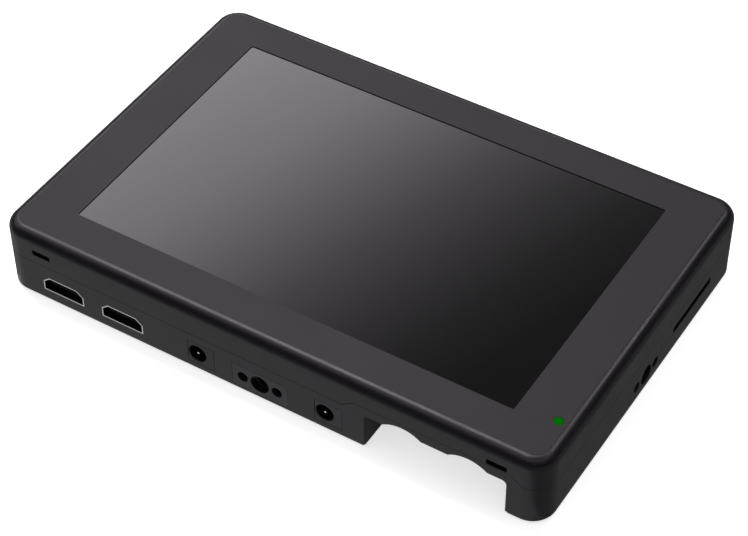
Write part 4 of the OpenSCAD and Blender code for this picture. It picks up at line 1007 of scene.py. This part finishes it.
class MONITOR_OT_studio(MonitorOperator, bpy.types.Operator):
    """Sets up the pale floor, the soft lights and the camera"""

    bl_idname = "monitor.studio"
    bl_label = "Studio"

    def execute(self, context):
        studio = context.scene.monitor_studio
        context.scene.view_settings.view_transform = "Standard"
        middle = Vector((0, 0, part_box("cover_glass")[1].z))
        self.floor(studio)
        self.world(context.scene, studio)
        self.camera(context.scene, studio)
        light_distance = 1.25
        for name, direction, size, power in (
            ("top_light", (-0.38, 0.22, 0.90), 0.5, studio.top_light),
            ("edge_light", (0.14, 0.63, 0.77), 0.15, studio.edge_light),
        ):
            self.soft_light(name, middle + light_distance * Vector(direction), size, power, middle)
        self.mirrored_card(studio, middle)
        self.black_cloth()
        self.black_ceiling()
        self.floor_cards()
        return {"FINISHED"}

    @staticmethod
    def plane(name, size, place=(0, 0, 0)):
        deselect()
        bpy.ops.mesh.primitive_plane_add(size=size, location=place)
        plane = bpy.context.object
        plane.name = name
        return plane

    def floor(self, studio):
        """White paper, whose own glow for the camera leaves only the object's soft shadow on it."""
        just_below, mirrored_glow = -0.05 * MM, 0.05
        floor = self.plane("floor", studio.floor_size, (0, 0, just_below))
        material, shader = surface("white_paper_floor", linear("#f2f2f2"), 0.9, gloss=0.2)
        path, seen = self.seen_as_background(material)
        mirrored = add_node(material, "ShaderNodeMath", {0: seen, 1: mirrored_glow}, operation="MULTIPLY")
        strength = add_node(
            material, "ShaderNodeMath",
            {0: path.outputs["Is Camera Ray"], 1: studio.floor_glow, 2: mirrored.outputs[0]},
            operation="MULTIPLY_ADD",
        )
        add_glow(material, (1, 1, 1, 1), strength.outputs[0], shader)
        floor.data.materials.append(material)

    @staticmethod
    def seen_as_background(material):
        """The light path, and 1 where the camera, a mirror or clear glass looks or 0 for soft light."""
        path = add_node(material, "ShaderNodeLightPath", {})
        first = add_node(
            material, "ShaderNodeMath",
            {0: path.outputs["Is Camera Ray"], 1: path.outputs["Is Glossy Ray"]}, operation="MAXIMUM",
        )
        both = add_node(
            material, "ShaderNodeMath",
            {0: first.outputs[0], 1: path.outputs["Is Transmission Ray"]}, operation="MAXIMUM",
        )
        return path, both.outputs[0]

    def world(self, scene, studio):
        world = bpy.data.worlds.new("studio")
        world.use_nodes = True
        scene.world = world
        background = world.node_tree.nodes["Background"]
        feed(background, "Color", (1, 1, 1, 1))
        seen = self.seen_as_background(world)[1]
        strength = add_node(
            world, "ShaderNodeMapRange", {"Value": seen, "To Min": studio.sky, "To Max": 1.0})
        feed(background, "Strength", strength.outputs["Result"])

    def camera(self, scene, studio):
        data = bpy.data.cameras.new("camera")
        data.lens = studio.camera_lens
        data.sensor_width = 36
        data.clip_start = 0.01
        camera = bpy.data.objects.new("camera", data)
        scene.collection.objects.link(camera)
        aim = Euler((math.pi / 2 - studio.camera_elevation, 0, studio.camera_azimuth)).to_matrix()
        roll = Matrix.Rotation(studio.camera_roll, 3, "Z")
        camera.matrix_world = Matrix.Translation(studio.camera_place) @ (aim @ roll).to_4x4()
        scene.camera = camera

    def soft_light(self, name, place, size, power, target):
        data = bpy.data.lights.new(name, "AREA")
        data.size = size
        data.energy = power
        light = bpy.data.objects.new(name, data)
        light.location = place
        light.rotation_euler = (target - place).to_track_quat("-Z", "Y").to_euler()
        bpy.context.scene.collection.objects.link(light)

    def mirrored_card(self, studio, middle):
        """A large card behind the object. Only its mirror image shows, fading across the display."""
        elevation, azimuth = studio.camera_elevation, studio.camera_azimuth
        up = Vector((
            -math.sin(azimuth) * math.cos(elevation), math.cos(azimuth) * math.cos(elevation),
            math.sin(elevation),
        ))
        right = Vector((math.cos(azimuth), math.sin(azimuth), 0))
        distance, size, half_fade = 0.9, 0.64, 0.2
        card = self.plane("mirrored_card", size)
        across = up.cross(right).normalized()
        turn = Matrix((right, -across, -up)).transposed()
        card.matrix_world = Matrix.Translation(middle + up * distance) @ turn.to_4x4()
        fades_towards = (0.543, 0.840, 0)
        stops = (
            (0.0, 1.05), (0.26, 0.74), (0.40, 0.43), (0.49, 0.255), (0.59, 0.14), (0.69, 0.065),
            (0.8, 0.03),
        )
        glow = self.graded_glow(
            "graded_card", fades_towards, -half_fade, half_fade, stops, studio.sheen)
        self.only_mirrored(card, glow)

    @staticmethod
    def graded_glow(name, direction, start, end, stops, strength=1.0):
        """A card's own glow, which follows the stops from one place to another along a direction."""
        material = surface(name, (0, 0, 0), 1.0)[0]
        coordinates = add_node(material, "ShaderNodeTexCoord", {})
        slope = add_node(
            material, "ShaderNodeVectorMath",
            {0: coordinates.outputs["Object"], 1: direction}, operation="DOT_PRODUCT",
        )
        place = add_node(
            material, "ShaderNodeMapRange",
            {"Value": slope.outputs["Value"], "From Min": start, "From Max": end},
        )
        ramp = add_node(material, "ShaderNodeValToRGB", {"Fac": place.outputs["Result"]})
        elements = ramp.color_ramp.elements
        while len(elements) < len(stops):
            elements.new(0.5)
        for element, (position, bright) in zip(elements, stops):
            element.position = position
            element.color = (bright, bright, bright, 1)
        add_glow(material, ramp.outputs["Color"], strength)
        return material

    def black_cloth(self):
        """A cloth round the studio, low at the back left. Above it the case's gloss shows the sky."""
        radius, high, low = 1.2, 1.5, 0.55
        deselect()
        bpy.ops.mesh.primitive_cylinder_add(
            vertices=96, radius=radius, depth=high, end_fill_type="NOTHING", location=(0, 0, high / 2),
        )
        cloth = added("black_cloth")
        first, last = math.radians(100), math.radians(-150)
        change_edges(
            cloth,
            lambda a, b: level(2, high)(a, b) and not last < math.atan2(a.y + b.y, a.x + b.x) < first,
            bpy.ops.transform.translate, value=(0, 0, low - high),
        )
        self.only_mirrored(cloth, self.molton_cloth())

    def black_ceiling(self):
        """A cloth overhead. It keeps the display dark for someone who looks straight down at it."""
        size, height = 0.84, 1.4
        cloth = self.plane("black_ceiling", size, (0, 0, height))
        self.only_mirrored(cloth, self.molton_cloth())

    @staticmethod
    def molton_cloth():
        material, shader = surface("black_molton_cloth", linear("#080808"), 0.95, gloss=0.1)
        grain(material, shader, size=2 * MM, height=0.3 * MM)
        return material

    def floor_cards(self):
        """Cards that lie round the object and give its walls and edges an even gloss."""
        low, high = CAD_BOUNDS
        reach, apart, above = 0.6, 0.1, 0.2 * MM
        brighter_outwards = ((0.0, 0.185), (0.06, 0.20), (0.15, 0.29), (0.4, 0.42))
        darker_outwards = ((0.0, 0.59), (0.05, 0.56), (0.10, 0.30), (0.25, 0.10), (0.6, 0.03))
        even, brighter = ((0.0, 0.30), (1.0, 0.30)), ((0.0, 0.32), (1.0, 0.32))
        right, front, back = (1, 0, 0), (0, -1, 0), (0, 1, 0)
        for name, near, far, direction, stops in (
            ("right_card", (high[0], -reach), (reach, reach), right, brighter_outwards),
            ("front_card", (-reach, -reach), (high[0], low[1]), front, darker_outwards),
            ("corner_card", (-reach, low[1]), (low[0], 0), front, brighter),
            ("back_card", (-reach, high[1] + apart), (high[0], reach), back, even),
            ("left_card", (-reach, 0), (low[0] - apart, high[1] + apart), back, even),
        ):
            card = block(name, (*near, -above), (*far, above))
            edge = high[0] if direction[0] else -low[1]
            self.only_mirrored(card, self.graded_glow(name, direction, edge, reach, stops))

    @staticmethod
    def only_mirrored(piece, material):
        """Glossy surfaces see this part of the studio. The camera, soft light and shadows don't."""
        piece.data.materials.append(material)
        piece.visible_camera = piece.visible_diffuse = piece.visible_shadow = False


PIECES = (
    MONITOR_OT_front_case,
    MONITOR_OT_front_panel,
    MONITOR_OT_display,
    MONITOR_OT_status_light,
    MONITOR_OT_rear_cover,
    MONITOR_OT_video_sockets,
    MONITOR_OT_power_sockets,
    MONITOR_OT_mount_blocks,
    MONITOR_OT_card_socket,
    MONITOR_OT_keys,
    MONITOR_OT_battery_plate,
    MONITOR_OT_screws,
    MONITOR_OT_cooling,
    MONITOR_OT_circuits,
    MONITOR_OT_studio,
)


class MONITOR_PT_sidebar(bpy.types.Panel):
    bl_idname = "MONITOR_PT_sidebar"
    bl_label = "Camera field monitor"
    bl_space_type = "VIEW_3D"
    bl_region_type = "UI"
    bl_category = "Monitor"

    def draw(self, context):
        layout = self.layout
        for piece in PIECES:
            layout.operator(piece.bl_idname)
        scene = context.scene
        for settings in (scene.monitor_sizes, scene.monitor_colours, scene.monitor_studio):
            for name in settings.__annotations__:
                layout.prop(settings, name)


CLASSES = (MonitorSizes, MonitorColours, StudioSettings, *PIECES, MONITOR_PT_sidebar)


def register():
    for cls in CLASSES:
        bpy.utils.register_class(cls)
    bpy.types.Scene.monitor_sizes = PointerProperty(type=MonitorSizes)
    bpy.types.Scene.monitor_colours = PointerProperty(type=MonitorColours)
    bpy.types.Scene.monitor_studio = PointerProperty(type=StudioSettings)


def unregister():
    del bpy.types.Scene.monitor_studio
    del bpy.types.Scene.monitor_colours
    del bpy.types.Scene.monitor_sizes
    for cls in reversed(CLASSES):
        bpy.utils.unregister_class(cls)


def main():
    register()
    make_materials(bpy.context.scene.monitor_colours)
    for piece in PIECES:
        group, operator = piece.bl_idname.split(".")
        result = getattr(getattr(bpy.ops, group), operator)()
        if "FINISHED" not in result:
            raise RuntimeError(f"{piece.bl_label} wasn't finished")


if __name__ == "__main__":
    main()
